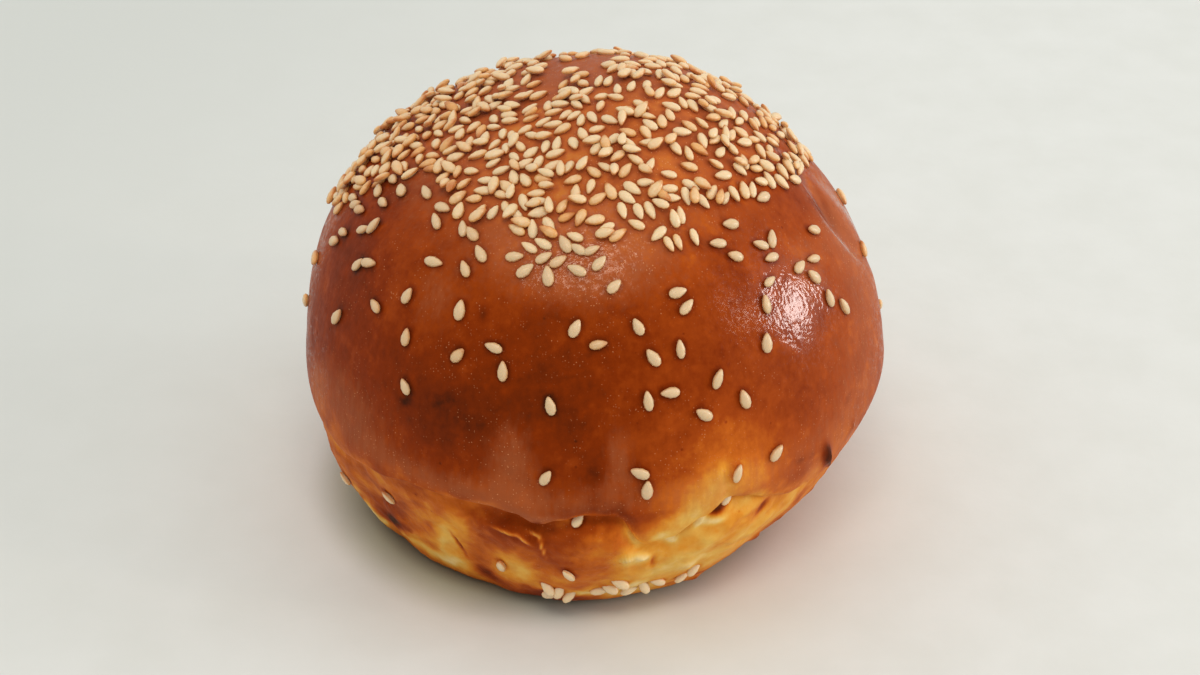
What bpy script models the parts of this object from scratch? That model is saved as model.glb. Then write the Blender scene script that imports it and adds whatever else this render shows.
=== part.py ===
"""A hamburger bun: one baked piece, with sesame seeds fused to its crown, flank and foot.

The bun stands on z = 0. Azimuths are in degrees: 0 faces -Y, the side with the deep fold under
the lip, and 90 faces +X. The browned crown hangs over the paler foot along the lip line.
"""

import math

import bpy
import numpy as np
from mathutils import Matrix, Vector, noise

MM = 0.001

# Overall form: a ball-like crown over a foot that tapers to a flat underside
RADIUS = 48.2 * MM
WIDEST_Z = 28.5 * MM
CROWN_RISE = 46.3 * MM
FOOT_DROP = 49.5 * MM
CROWN_POWER = 2.08
FOOT_POWER = 1.60
EDGE_ROUND = 2.5 * MM
CROWN_LEAN = -2.4 * MM
FOOT_LEAN = -3.6 * MM
LEAN_POWER = 1.4
CROWN_TILT = 3.0 * MM
CROWN_TILT_REACH = 36.0 * MM
PLAN_WAVES = ((2, 0.004, 0.6), (3, 0.005, 2.1), (5, 0.003, 4.0))

# Lip line round the bun: its height, and how deep the groove under it cuts, in millimetres
LIP_HEIGHT = {
    -180: 25.5, -140: 24.5, -105: 26.5, -73: 25.8, -57: 25.0, -44: 26.6, -35: 28.1, -19: 28.5,
    -14: 27.8, -10: 25.5, -6: 27.2, -1: 28.6, 4: 28.4, 11: 21.2, 16: 21.8, 21: 25.4, 26: 28.2,
    31: 26.8, 36: 24.8, 43: 22.4, 52: 21.6, 75: 24.0, 110: 26.0, 145: 24.5,
}
LIP_DEPTH = {
    -180: 0.9, -120: 1.1, -73: 0.7, -50: 0.8, -35: 1.1, -20: 1.7, -10: 2.2, 0: 2.0, 7: 1.3,
    12: 0.9, 18: 1.1, 24: 1.7, 35: 0.9, 50: 0.7, 90: 0.8, 130: 1.1,
}
SKIRT_SHARE = 0.45
SKIRT_CENTRE = 2.6 * MM
SKIRT_REACH = 3.0 * MM
LEDGE_DROP = 0.9 * MM
GROOVE_REACH = 3.4 * MM

# Foot: how far it swells out between the lip and the underside, in millimetres, and its puckers
FOOT_SWELL = {
    -180: 0.6, -120: 1.0, -64: -0.4, -52: -2.4, -38: -2.8, -24: -2.2, -12: -0.5, 0: 1.6, 8: 1.3,
    16: 0.6, 30: 1.1, 47: -0.4, 65: 0.3, 90: 0.4, 140: 0.9,
}
FOOT_FULLNESS = 0.6
PUCKER_DEPTH = 0.7 * MM
PUCKER_TURNS = 6.0
PUCKER_RISE = 90.0

# Crown: broad soft dimples, and the long shallow valley down its right shoulder
DIMPLE_DEPTH = 0.55 * MM
DIMPLE_TURNS = 2.1
VALLEY_AZIMUTH = 82.0
VALLEY_SLANT = 8.0
VALLEY_DEPTH = 0.9 * MM
VALLEY_WIDTH = 3.2 * MM
VALLEY_Z = 54.0 * MM
VALLEY_REACH = 10.0 * MM

# Faces of the crust: segments round it, and rows from the top to the lip, the rim and the centre
SEGMENTS = 72
CROWN_ROWS = 13
FOOT_ROWS = 8
BASE_ROWS = 2
ROWS = CROWN_ROWS + FOOT_ROWS + BASE_ROWS
CROWN_CROWDING = 1.15
FOOT_CROWDING = 1.4

# Sesame seeds
SEED_LENGTH = 3.1 * MM
SEED_WIDTH = 1.8 * MM
SEED_THICKNESS = 1.3 * MM
SEED_SUNK = 0.42 * MM
SEED_SEGMENTS = 6
SEED_ROWS = 3
SEED_TAPER = 0.28
SIZE_SPREAD = 0.12
RANDOM_SEED = 27

# Dense cap of seeds: the height of its lower edge round the bun, in millimetres, where it thins out
CAP_EDGE = {
    -180: 57.0, -125: 53.0, -97: 54.0, -79: 59.0, -66: 60.5, -48: 65.0, -20: 64.0, 2: 63.5,
    26: 64.0, 50: 64.0, 75: 62.5, 100: 58.5, 115: 56.5, 145: 58.0,
}
CAP_FADE = 2.5 * MM
CAP_SEEDS = 125
CAP_SPACING = 5.0 * MM
BACK_SEEDS = 14
BACK_SPACING = 9.0 * MM
BACK_HEIGHTS = (32.0 * MM, 52.0 * MM)
BACK_AZIMUTHS = (75.0, 290.0)

# Seeds that lie apart on the front, placed by eye: azimuth, height in millimetres, spin
FLANK_SEEDS = (
    (-60, 55.5, 50), (-61, 47.1, 70), (-49.7, 52.7, 165), (-42, 56.1, 75), (-39.2, 51.1, 95),
    (-38.8, 61, 10), (-37.3, 44.2, 125), (-30, 61.5, 130), (-28.2, 56.8, 95), (-26.6, 51.2, 55),
    (-19.2, 53.2, 170), (-16.8, 50.3, 95), (-7.1, 46.2, 105), (-1.8, 56.5, 65), (3, 54.5, 10),
    (8, 61.1, 40), (12, 56.3, 110), (14, 52.3, 120), (11.8, 46.6, 95), (16.3, 47.3, 175),
    (20, 52.8, 90), (22.8, 59.4, 5), (23.8, 57.6, 35), (22.3, 43.2, 140), (26.5, 47.7, 60),
    (31.3, 43.6, 100), (39.7, 49.9, 75), (43.2, 54.5, 80), (47, 56.7, 8), (51.3, 58.9, 170),
    (55, 60.5, 50), (57.6, 55.9, 10), (63, 55.4, 155), (60, 53.7, 120), (61.2, 49.9, 80),
    (64.7, 47.2, 105), (70, 57.6, 145), (40, 61.9, 160), (36.6, 33, 40), (27.5, 32.4, 60),
    (9, 35.6, 150), (10.2, 32.6, 85), (-8.1, 35, 60),
)
FOOT_SEEDS = ((-46.5, 18, 120), (-17.7, 11.6, 80), (-2.8, 14.4, 118), (-2.3, 26, 60), (26.4, 27, 70))
RIM_SEEDS = 11
RIM_AZIMUTHS = (-7.0, 26.0)
RIM_Z = 7.6 * MM

TINY = 1e-4


def smooth(share):
    """A soft step from 0 to 1."""
    share = np.clip(share, 0.0, 1.0)
    return share * share * (3.0 - 2.0 * share)


def around(azimuth, values):
    """Millimetre values named at some azimuths, joined smoothly all the way round, in metres."""
    stops = np.array(sorted(values), dtype=float)
    levels = np.array([values[stop] for stop in sorted(values)]) * MM
    stops = np.append(stops, stops[0] + 360.0)
    levels = np.append(levels, levels[0])
    degrees = (np.degrees(azimuth) - stops[0]) % 360.0 + stops[0]
    place = np.clip(np.searchsorted(stops, degrees, side="right") - 1, 0, len(stops) - 2)
    share = smooth((degrees - stops[place]) / (stops[place + 1] - stops[place]))
    return levels[place] * (1.0 - share) + levels[place + 1] * share


def noise_at(points):
    """Soft noise, about -1 to 1, at an array of points."""
    return np.array([noise.noise(Vector(point)) for point in points])


def profile(turn):
    """Radius and height of the plain turned form, at angles from the widest ring."""
    power = np.where(turn >= 0.0, CROWN_POWER, FOOT_POWER)
    reach = np.where(turn >= 0.0, CROWN_RISE, FOOT_DROP)
    radius = RADIUS * np.clip(np.cos(turn), 0.0, None) ** (2.0 / power)
    height = WIDEST_Z + reach * np.sign(turn) * np.abs(np.sin(turn)) ** (2.0 / power)
    return radius, height


def turn_at(height):
    """The angle from the widest ring at which the turned form has a height."""
    rise = height - WIDEST_Z
    power = np.where(rise >= 0.0, CROWN_POWER, FOOT_POWER)
    reach = np.where(rise >= 0.0, CROWN_RISE, FOOT_DROP)
    return np.sign(rise) * np.arcsin(np.clip(np.abs(rise) / reach, 0.0, 1.0) ** (power / 2.0))


def settle(height):
    """Heights with the part below the table pressed flat, and the turn into it rounded."""
    rounded = (height + EDGE_ROUND) ** 2 / (4.0 * EDGE_ROUND)
    return np.where(height <= -EDGE_ROUND, 0.0, np.where(height < EDGE_ROUND, rounded, height))


def lean(height):
    """How far sideways the bun leans at a height."""
    over = np.clip((height - WIDEST_Z) / CROWN_RISE, 0.0, None) ** LEAN_POWER
    under = np.clip((WIDEST_Z - height) / WIDEST_Z, 0.0, None) ** LEAN_POWER
    return CROWN_LEAN * over + FOOT_LEAN * under


def lip_relief(azimuth, height):
    """How far the crown's skirt stands out over the lip, and the groove cuts in under it."""
    depth = around(azimuth, LIP_DEPTH)
    over = height - around(azimuth, LIP_HEIGHT)
    skirt = SKIRT_SHARE * depth * np.exp(-(((over - SKIRT_CENTRE) / SKIRT_REACH) ** 2))
    ledge = smooth(-over / LEDGE_DROP)
    recovery = np.exp(-((np.clip(-over - LEDGE_DROP, 0.0, None) / GROOVE_REACH) ** 2))
    return skirt - depth * ledge * recovery


def foot_relief(azimuth, height):
    """How far the foot swells and puckers between the lip and the underside."""
    lip = around(azimuth, LIP_HEIGHT)
    share = np.clip((lip - height) / (lip + EDGE_ROUND), 0.0, 1.0)
    bulge = np.sin(math.pi * share) ** FOOT_FULLNESS
    places = np.column_stack((
        np.sin(azimuth) * PUCKER_TURNS, np.cos(azimuth) * PUCKER_TURNS, height * PUCKER_RISE))
    return (around(azimuth, FOOT_SWELL) + PUCKER_DEPTH * noise_at(places)) * bulge


def crown_relief(azimuth, turn, height):
    """How far the crown's broad dimples and its shoulder valley move the crust out or in."""
    places = DIMPLE_TURNS * np.column_stack((
        np.cos(turn) * np.sin(azimuth), -np.cos(turn) * np.cos(azimuth), np.sin(turn)))
    dimples = DIMPLE_DEPTH * noise_at(places + 3.7) * smooth((turn + 0.35) / 0.5)
    along = (height - VALLEY_Z) / VALLEY_REACH
    middle = np.radians(VALLEY_AZIMUTH + VALLEY_SLANT * along * along)
    across = (azimuth - middle) * RADIUS / VALLEY_WIDTH
    return dimples - VALLEY_DEPTH * np.exp(-across * across - along * along)


def crust(azimuth, turn, reach=1.0):
    """Points of the crust at azimuths and angles from the widest ring, both in radians.

    A reach below 1 draws them towards the middle, for the flat underside.
    """
    azimuth = np.atleast_1d(np.asarray(azimuth, dtype=float))
    turn = np.atleast_1d(np.asarray(turn, dtype=float))
    radius, height = profile(turn)
    plan = 1.0 + sum(share * np.cos(count * azimuth + phase) for count, share, phase in PLAN_WAVES)
    out = radius * plan + lip_relief(azimuth, height) * np.cos(turn) + foot_relief(azimuth, height)
    swell = crown_relief(azimuth, turn, height)
    tilt = CROWN_TILT * np.sin(azimuth) * np.sin(math.pi * np.clip(radius / CROWN_TILT_REACH, 0.0, 1.0))
    out = (out + swell * np.cos(turn)) * reach
    height = settle(height + np.where(turn > 0.0, swell * np.sin(turn) + tilt, 0.0))
    return np.column_stack((
        out * np.sin(azimuth) + lean(height), -out * np.cos(azimuth), height))


def crust_frame(azimuth, turn):
    """A point of the crust, its outward normal, and its level direction round the bun."""
    here = crust(azimuth, turn)[0]
    round_it = crust(azimuth + TINY, turn)[0] - crust(azimuth - TINY, turn)[0]
    up_it = crust(azimuth, turn + TINY)[0] - crust(azimuth, turn - TINY)[0]
    normal = np.cross(round_it, up_it)
    return Vector(here), Vector(normal).normalized(), Vector(round_it).normalized()


def row_places(row, azimuth):
    """The angle from the widest ring, and the reach, of the crust's rows."""
    lip = turn_at(around(azimuth, LIP_HEIGHT))
    rim = turn_at(np.array(-EDGE_ROUND))
    down_crown = np.clip(row / CROWN_ROWS, 0.0, 1.0)
    down_crown = 1.0 - (1.0 - down_crown) ** CROWN_CROWDING
    down_foot = np.clip((row - CROWN_ROWS) / FOOT_ROWS, 0.0, 1.0) ** FOOT_CROWDING
    top = math.pi / 2.0
    turn = top + (lip - top) * down_crown + (rim - lip) * down_foot
    reach = 1.0 - np.clip((row - CROWN_ROWS - FOOT_ROWS) / BASE_ROWS, 0.0, 1.0)
    return turn, reach


def material(name, colour, roughness):
    """A plain material for one finish of the bun."""
    made = bpy.data.materials.new(name)
    made.use_nodes = True
    surface = made.node_tree.nodes["Principled BSDF"]
    surface.inputs["Base Color"].default_value = (*colour, 1.0)
    surface.inputs["Roughness"].default_value = roughness
    surface.inputs["Metallic"].default_value = 0.0
    return made


def make_bun(collection, finishes):
    """The bare bun: a ball of rows and segments, each moved to its place on the crust."""
    bpy.ops.mesh.primitive_uv_sphere_add(segments=SEGMENTS, ring_count=ROWS, radius=1.0)
    bun = bpy.context.object
    bun.name = "bun"
    mesh = bun.data
    places = np.empty(len(mesh.vertices) * 3)
    mesh.vertices.foreach_get("co", places)
    places = places.reshape(-1, 3)
    azimuth = np.arctan2(places[:, 0], -places[:, 1])
    row = np.round(ROWS * np.arccos(np.clip(places[:, 2], -1.0, 1.0)) / math.pi)
    turn, reach = row_places(row, azimuth)
    mesh.vertices.foreach_set("co", crust(azimuth, turn, reach).ravel())
    mesh.update()
    for finish in finishes:
        mesh.materials.append(finish)
    mesh.shade_smooth()
    for home in list(bun.users_collection):
        home.objects.unlink(bun)
    collection.objects.link(bun)
    return bun


def make_seed_mesh(finishes):
    """One sesame seed, lying along X with its tip at +X, flat enough to lie on the crust."""
    bpy.ops.mesh.primitive_uv_sphere_add(
        segments=SEED_SEGMENTS, ring_count=SEED_ROWS, radius=1.0,
        rotation=(0.0, math.pi / 2.0, 0.0))
    seed = bpy.context.object
    bpy.ops.object.transform_apply(location=False, rotation=True, scale=True)
    mesh = seed.data.copy()
    bpy.data.objects.remove(seed)
    widest = max(vertex.co.y for vertex in mesh.vertices)
    highest = max(vertex.co.z for vertex in mesh.vertices)
    for vertex in mesh.vertices:
        narrowing = 1.0 - SEED_TAPER * (vertex.co.x + 0.5)
        vertex.co.x *= SEED_LENGTH / 2.0
        vertex.co.y *= SEED_WIDTH / 2.0 * narrowing / widest
        vertex.co.z *= SEED_THICKNESS / 2.0 * narrowing / highest
    for finish in finishes:
        mesh.materials.append(finish)
    for face in mesh.polygons:
        face.material_index = len(finishes) - 1
    return mesh


def spread_out(draw, taken, count, spacing, wanted):
    """Places drawn at random on the bun where they are wanted, none nearer than the spacing."""
    found = []
    while len(found) < count:
        azimuth = draw.uniform(-math.pi, math.pi)
        turn = math.asin(draw.uniform(-0.3, 1.0))
        chance = draw.uniform()
        if chance > wanted(azimuth, turn):
            continue
        point = Vector(crust(azimuth, turn)[0])
        if all((point - other).length > spacing for other in taken):
            taken.append(point)
            found.append((azimuth, turn, draw.uniform(0.0, 2.0 * math.pi)))
    return found


def in_cap(azimuth, turn):
    """How much the dense cap of seeds covers a place, from 0 to 1."""
    height = profile(np.array(turn))[1]
    return float(smooth((height - around(azimuth, CAP_EDGE)) / CAP_FADE + 0.5))


def on_back(azimuth, turn):
    """Whether a place is on the flank that faces away, where single seeds lie."""
    height = profile(np.array(turn))[1]
    round_it = math.degrees(azimuth) % 360.0
    level = BACK_HEIGHTS[0] < height < BACK_HEIGHTS[1]
    return float(level and BACK_AZIMUTHS[0] < round_it < BACK_AZIMUTHS[1])


def seed_places():
    """Azimuth, angle from the widest ring and spin of each seed."""
    draw = np.random.RandomState(RANDOM_SEED)
    found = []
    for azimuth, height, spin in FLANK_SEEDS + FOOT_SEEDS:
        found.append((math.radians(azimuth), float(turn_at(np.array(height * MM))), math.radians(spin)))
    first, last = RIM_AZIMUTHS
    for step in range(RIM_SEEDS):
        azimuth = math.radians(first + (last - first) * (step + draw.uniform(-0.2, 0.2)) / (RIM_SEEDS - 1))
        turn = float(turn_at(np.array(RIM_Z)))
        found.append((azimuth, turn, draw.uniform(-0.5, 0.5)))
    taken = [Vector(crust(azimuth, turn)[0]) for azimuth, turn, _ in found]
    found += spread_out(draw, taken, BACK_SEEDS, BACK_SPACING, on_back)
    found += spread_out(draw, taken, CAP_SEEDS, CAP_SPACING, in_cap)
    return found


def make_seeds(collection, finishes):
    """Every seed, laid on the crust a little sunk into it, each of its own size."""
    draw = np.random.RandomState(RANDOM_SEED + 1)
    shape = make_seed_mesh(finishes)
    for number, (azimuth, turn, spin) in enumerate(seed_places()):
        point, normal, level = crust_frame(azimuth, turn)
        along = Matrix.Rotation(spin, 3, normal) @ level
        across = normal.cross(along)
        turned = Matrix((along, across, normal)).transposed().to_4x4()
        size = 1.0 + SIZE_SPREAD * draw.uniform(-1.0, 1.0)
        lift = SEED_THICKNESS / 2.0 - SEED_SUNK
        seed = bpy.data.objects.new(f"seed_{number + 1}", shape)
        seed.matrix_world = Matrix.Translation(point + normal * lift) @ turned @ Matrix.Scale(size, 4)
        collection.objects.link(seed)


def fuse(bun, seeds):
    """One union that makes the bun and all its seeds a single solid."""
    union = bun.modifiers.new("seeds", "BOOLEAN")
    union.operation = "UNION"
    union.solver = "MANIFOLD"
    union.operand_type = "COLLECTION"
    union.collection = seeds
    bpy.context.view_layer.objects.active = bun
    bpy.ops.object.modifier_apply(modifier=union.name)
    for seed in list(seeds.objects):
        bpy.data.objects.remove(seed)
    bpy.data.collections.remove(seeds)


def main():
    """Clear the scene and make the bun."""
    for existing in list(bpy.data.objects):
        bpy.data.objects.remove(existing)
    collection = bpy.data.collections.new("hamburger_bun")
    seeds = bpy.data.collections.new("sesame_seeds")
    bpy.context.scene.collection.children.link(collection)
    bpy.context.scene.collection.children.link(seeds)
    finishes = (material("crust", (0.27, 0.07, 0.02), 0.32), material("seed", (0.72, 0.5, 0.24), 0.5))
    bun = make_bun(collection, finishes)
    make_seeds(seeds, finishes)
    bpy.context.view_layer.update()
    fuse(bun, seeds)


main()
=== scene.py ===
"""The looks of a hamburger bun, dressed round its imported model.

The bun stands on z = 0. Azimuths are in degrees: 0 faces -Y, the side with the deep fold under
the lip, and 90 faces +X. The browned crown hangs over the paler foot along the lip line. Two
pieces replace the bun's solid: its crust, worked out from the same named sizes as that solid, and
its sesame seeds.
"""

from __future__ import annotations

import logging
import math
from dataclasses import dataclass, field
from enum import Enum
from typing import Sequence, Union

import bpy
import numpy as np
from mathutils import Matrix, Vector, noise
from mathutils.kdtree import KDTree

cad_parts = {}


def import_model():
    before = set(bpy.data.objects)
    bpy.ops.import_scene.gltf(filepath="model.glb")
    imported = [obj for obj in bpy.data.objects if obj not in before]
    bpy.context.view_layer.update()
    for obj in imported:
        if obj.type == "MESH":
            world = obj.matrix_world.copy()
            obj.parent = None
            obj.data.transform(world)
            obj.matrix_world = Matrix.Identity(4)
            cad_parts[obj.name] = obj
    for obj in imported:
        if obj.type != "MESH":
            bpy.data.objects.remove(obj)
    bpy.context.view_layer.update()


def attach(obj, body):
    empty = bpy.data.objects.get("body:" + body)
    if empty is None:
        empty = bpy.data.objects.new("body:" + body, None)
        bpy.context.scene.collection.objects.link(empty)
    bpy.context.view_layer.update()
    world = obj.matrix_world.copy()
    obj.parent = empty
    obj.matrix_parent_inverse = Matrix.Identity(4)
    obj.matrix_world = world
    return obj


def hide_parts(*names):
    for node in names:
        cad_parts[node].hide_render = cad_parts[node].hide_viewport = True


LOG = logging.getLogger("bun")
MM = 0.001
BODY = "root"
NODE = "bun"
TINY = 1e-4

Azimuths = dict[float, float]
Fade = tuple[float, float]
Place = tuple[float, float, float]
Colour = tuple[float, float, float, float]


def smooth(share: np.ndarray | float) -> np.ndarray:
    """A soft step from 0 to 1."""
    share = np.clip(share, 0.0, 1.0)
    return share * share * (3.0 - 2.0 * share)


def around(azimuth: np.ndarray, values: Azimuths) -> np.ndarray:
    """Values named at some azimuths, joined smoothly all the way round.

    Args:
        azimuth: Where the values are wanted, in radians.
        values: Value by azimuth in degrees.

    Returns:
        The value at each azimuth.
    """
    stops = np.array(sorted(values), dtype=float)
    levels = np.array([values[stop] for stop in sorted(values)], dtype=float)
    stops = np.append(stops, stops[0] + 360.0)
    levels = np.append(levels, levels[0])
    degrees = (np.degrees(azimuth) - stops[0]) % 360.0 + stops[0]
    place = np.clip(np.searchsorted(stops, degrees, side="right") - 1, 0, len(stops) - 2)
    share = smooth((degrees - stops[place]) / (stops[place + 1] - stops[place]))
    return levels[place] * (1.0 - share) + levels[place + 1] * share


def noise_at(points: np.ndarray) -> np.ndarray:
    """Soft noise, about -1 to 1, at each of an array of points. Points all shifted give another."""
    return np.array([noise.noise(Vector(point)) for point in points])


def unit(rows: np.ndarray) -> np.ndarray:
    """Each row brought to a length of 1."""
    return rows / np.linalg.norm(rows, axis=-1, keepdims=True)


def seen(red: float, green: float, blue: float) -> Colour:
    """A colour as the eye sees it, 0 to 255 a channel, turned into the light that it sends.

    Args:
        red: Its red.
        green: Its green.
        blue: Its blue.

    Returns:
        The colour, with an alpha of 1.
    """
    channels = []
    for value in (red, green, blue):
        share = value / 255.0
        channels.append(share / 12.92 if share <= 0.04045 else ((share + 0.055) / 1.055) ** 2.4)
    return (*channels, 1.0)


@dataclass(frozen=True)
class BunForm:
    """The baked form: a ball-like crown over a foot that tapers to a flat underside."""

    radius: float = 48.2 * MM
    widest_z: float = 28.5 * MM
    crown_rise: float = 46.3 * MM
    foot_drop: float = 49.5 * MM
    crown_power: float = 2.08
    foot_power: float = 1.60
    edge_round: float = 2.5 * MM
    crown_lean: float = -2.4 * MM
    foot_lean: float = -3.6 * MM
    lean_power: float = 1.4
    crown_tilt: float = 3.0 * MM
    crown_tilt_reach: float = 36.0 * MM
    plan_waves: tuple[tuple[int, float, float], ...] = ((2, 0.004, 0.6), (3, 0.005, 2.1), (5, 0.003, 4.0))
    lip_height: Azimuths = field(default_factory=lambda: {
        -180: 25.5, -140: 24.5, -105: 26.5, -73: 25.8, -57: 25, -44: 26.6, -35: 28.1, -19: 28.5,
        -14: 27.8, -10: 25.5, -6: 27.2, -1: 28.6, 4: 28.4, 11: 21.2, 16: 21.8, 21: 25.4, 26: 28.2,
        31: 26.8, 36: 24.8, 43: 22.4, 52: 21.6, 75: 24, 110: 26, 145: 24.5})
    lip_depth: Azimuths = field(default_factory=lambda: {
        -180: 0.9, -120: 1.1, -73: 0.7, -50: 0.8, -35: 1.1, -20: 1.7, -10: 2.2, 0: 2, 7: 1.3, 12: 0.9,
        18: 1.1, 24: 1.7, 35: 0.9, 50: 0.7, 90: 0.8, 130: 1.1})
    skirt_share: float = 0.45
    skirt_centre: float = 2.6 * MM
    skirt_reach: float = 3.0 * MM
    ledge_drop: float = 0.9 * MM
    groove_reach: float = 3.4 * MM
    foot_swell: Azimuths = field(default_factory=lambda: {
        -180: 0.6, -120: 1, -64: -0.4, -52: -2.4, -38: -2.8, -24: -2.2, -12: -0.5, 0: 1.6, 8: 1.3,
        16: 0.6, 30: 1.1, 47: -0.4, 65: 0.3, 90: 0.4, 140: 0.9})
    foot_fullness: float = 0.6
    pucker_depth: float = 0.7 * MM
    pucker_turns: float = 6.0
    pucker_climb: float = 90.0
    dimple_depth: float = 0.55 * MM
    dimple_turns: float = 2.1
    dimple_start: float = -0.35
    dimple_fade: float = 0.5
    valley_azimuth: float = 82.0
    valley_slant: float = 8.0
    valley_depth: float = 0.9 * MM
    valley_width: float = 3.2 * MM
    valley_z: float = 54.0 * MM
    valley_reach: float = 10.0 * MM

    def lip_z(self, azimuth: np.ndarray) -> np.ndarray:
        """Height of the lip line at some azimuths."""
        return around(azimuth, self.lip_height) * MM

    def profile(self, turn: np.ndarray) -> tuple[np.ndarray, np.ndarray]:
        """Radius and height of the plain turned form, at angles from the widest ring.

        Args:
            turn: Angles from the widest ring, in radians.

        Returns:
            Radii and heights, in metres.
        """
        power = np.where(turn >= 0.0, self.crown_power, self.foot_power)
        reach = np.where(turn >= 0.0, self.crown_rise, self.foot_drop)
        radius = self.radius * np.clip(np.cos(turn), 0.0, None) ** (2.0 / power)
        height = self.widest_z + reach * np.sign(turn) * np.abs(np.sin(turn)) ** (2.0 / power)
        return radius, height

    def turn_at(self, height: np.ndarray | float) -> np.ndarray:
        """The angle from the widest ring at which the turned form has a height.

        Args:
            height: Heights, in metres.

        Returns:
            Angles, in radians.
        """
        rise = np.asarray(height) - self.widest_z
        power = np.where(rise >= 0.0, self.crown_power, self.foot_power)
        reach = np.where(rise >= 0.0, self.crown_rise, self.foot_drop)
        return np.sign(rise) * np.arcsin(np.clip(np.abs(rise) / reach, 0.0, 1.0) ** (power / 2.0))

    def settle(self, height: np.ndarray) -> np.ndarray:
        """Heights with the part below the table pressed flat, and the turn into it rounded.

        Args:
            height: Heights that may be below the table, in metres.

        Returns:
            Heights from 0 up.
        """
        rounded = (height + self.edge_round) ** 2 / (4.0 * self.edge_round)
        near = np.where(height < self.edge_round, rounded, height)
        return np.where(height <= -self.edge_round, 0.0, near)

    def lean(self, height: np.ndarray) -> np.ndarray:
        """How far sideways the bun leans at a height.

        Args:
            height: Heights, in metres.

        Returns:
            Shifts along X, in metres.
        """
        over = np.clip((height - self.widest_z) / self.crown_rise, 0.0, None) ** self.lean_power
        under = np.clip((self.widest_z - height) / self.widest_z, 0.0, None) ** self.lean_power
        return self.crown_lean * over + self.foot_lean * under

    def lip_relief(self, azimuth: np.ndarray, height: np.ndarray) -> np.ndarray:
        """How far the crown's skirt stands out over the lip, and the groove cuts in under it.

        Args:
            azimuth: Azimuths, in radians.
            height: Heights, in metres.

        Returns:
            Distances outwards, in metres.
        """
        depth = around(azimuth, self.lip_depth) * MM
        over = height - self.lip_z(azimuth)
        skirt = self.skirt_share * depth * np.exp(-(((over - self.skirt_centre) / self.skirt_reach) ** 2))
        ledge = smooth(-over / self.ledge_drop)
        beyond = np.clip(-over - self.ledge_drop, 0.0, None)
        return skirt - depth * ledge * np.exp(-((beyond / self.groove_reach) ** 2))

    def foot_share(self, azimuth: np.ndarray, height: np.ndarray) -> np.ndarray:
        """How far down the foot a height is, from 0 at the lip to 1 at the underside's rim."""
        lip = self.lip_z(azimuth)
        return np.clip((lip - height) / (lip + self.edge_round), 0.0, 1.0)

    def foot_relief(self, azimuth: np.ndarray, height: np.ndarray) -> np.ndarray:
        """How far the foot swells and puckers between the lip and the underside.

        Args:
            azimuth: Azimuths, in radians.
            height: Heights, in metres.

        Returns:
            Distances outwards, in metres.
        """
        bulge = np.sin(math.pi * self.foot_share(azimuth, height)) ** self.foot_fullness
        puckers = noise_at(self.skin(azimuth, height, self.pucker_turns, self.pucker_climb))
        return (around(azimuth, self.foot_swell) * MM + self.pucker_depth * puckers) * bulge

    def crown_relief(self, azimuth: np.ndarray, turn: np.ndarray, height: np.ndarray) -> np.ndarray:
        """How far the crown's broad dimples and its shoulder valley move the crust out or in.

        Args:
            azimuth: Azimuths, in radians.
            turn: Angles from the widest ring, in radians.
            height: Heights of the same places, in metres.

        Returns:
            Distances outwards, in metres.
        """
        dimples = noise_at(self.dimple_turns * self.directions(azimuth, turn) + 3.7)
        dimples = self.dimple_depth * dimples * smooth((turn - self.dimple_start) / self.dimple_fade)
        along = (height - self.valley_z) / self.valley_reach
        middle = np.radians(self.valley_azimuth + self.valley_slant * along * along)
        across = (azimuth - middle) * self.radius / self.valley_width
        return dimples - self.valley_depth * np.exp(-across * across - along * along)

    def points(self, azimuth: np.ndarray, turn: np.ndarray, reach: np.ndarray | float = 1.0,
               extra: np.ndarray | float = 0.0) -> np.ndarray:
        """Points of the crust.

        Args:
            azimuth: Angles round the bun, in radians.
            turn: Angles up or down from the widest ring, in radians.
            reach: Below 1, draws the points towards the middle, for the flat underside.
            extra: Fine relief to add, outwards, in metres.

        Returns:
            One row of x, y and z for each point.
        """
        azimuth = np.atleast_1d(np.asarray(azimuth, dtype=float))
        turn = np.atleast_1d(np.asarray(turn, dtype=float))
        radius, height = self.profile(turn)
        plan = 1.0 + sum(share * np.cos(count * azimuth + phase) for count, share, phase in self.plan_waves)
        out = radius * plan + self.lip_relief(azimuth, height) * np.cos(turn)
        out = out + self.foot_relief(azimuth, height)
        swell = self.crown_relief(azimuth, turn, height) + extra
        across = np.clip(radius / self.crown_tilt_reach, 0.0, 1.0)
        tilt = self.crown_tilt * np.sin(azimuth) * np.sin(math.pi * across)
        out = (out + swell * np.cos(turn)) * reach
        height = self.settle(height + np.where(turn > 0.0, swell * np.sin(turn) + tilt, 0.0))
        return np.column_stack((
            out * np.sin(azimuth) + self.lean(height), -out * np.cos(azimuth), height))

    def directions(self, azimuth: np.ndarray, turn: np.ndarray) -> np.ndarray:
        """Unit directions from the bun's middle, one row for each place."""
        return np.column_stack((
            np.cos(turn) * np.sin(azimuth), -np.cos(turn) * np.cos(azimuth), np.sin(turn)))

    def skin(self, azimuth: np.ndarray, height: np.ndarray, turns: float, climb: float) -> np.ndarray:
        """Where to read noise, one row each: finer round the side by turns, and upwards by climb."""
        return np.column_stack((np.sin(azimuth) * turns, np.cos(azimuth) * turns, height * climb))

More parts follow.
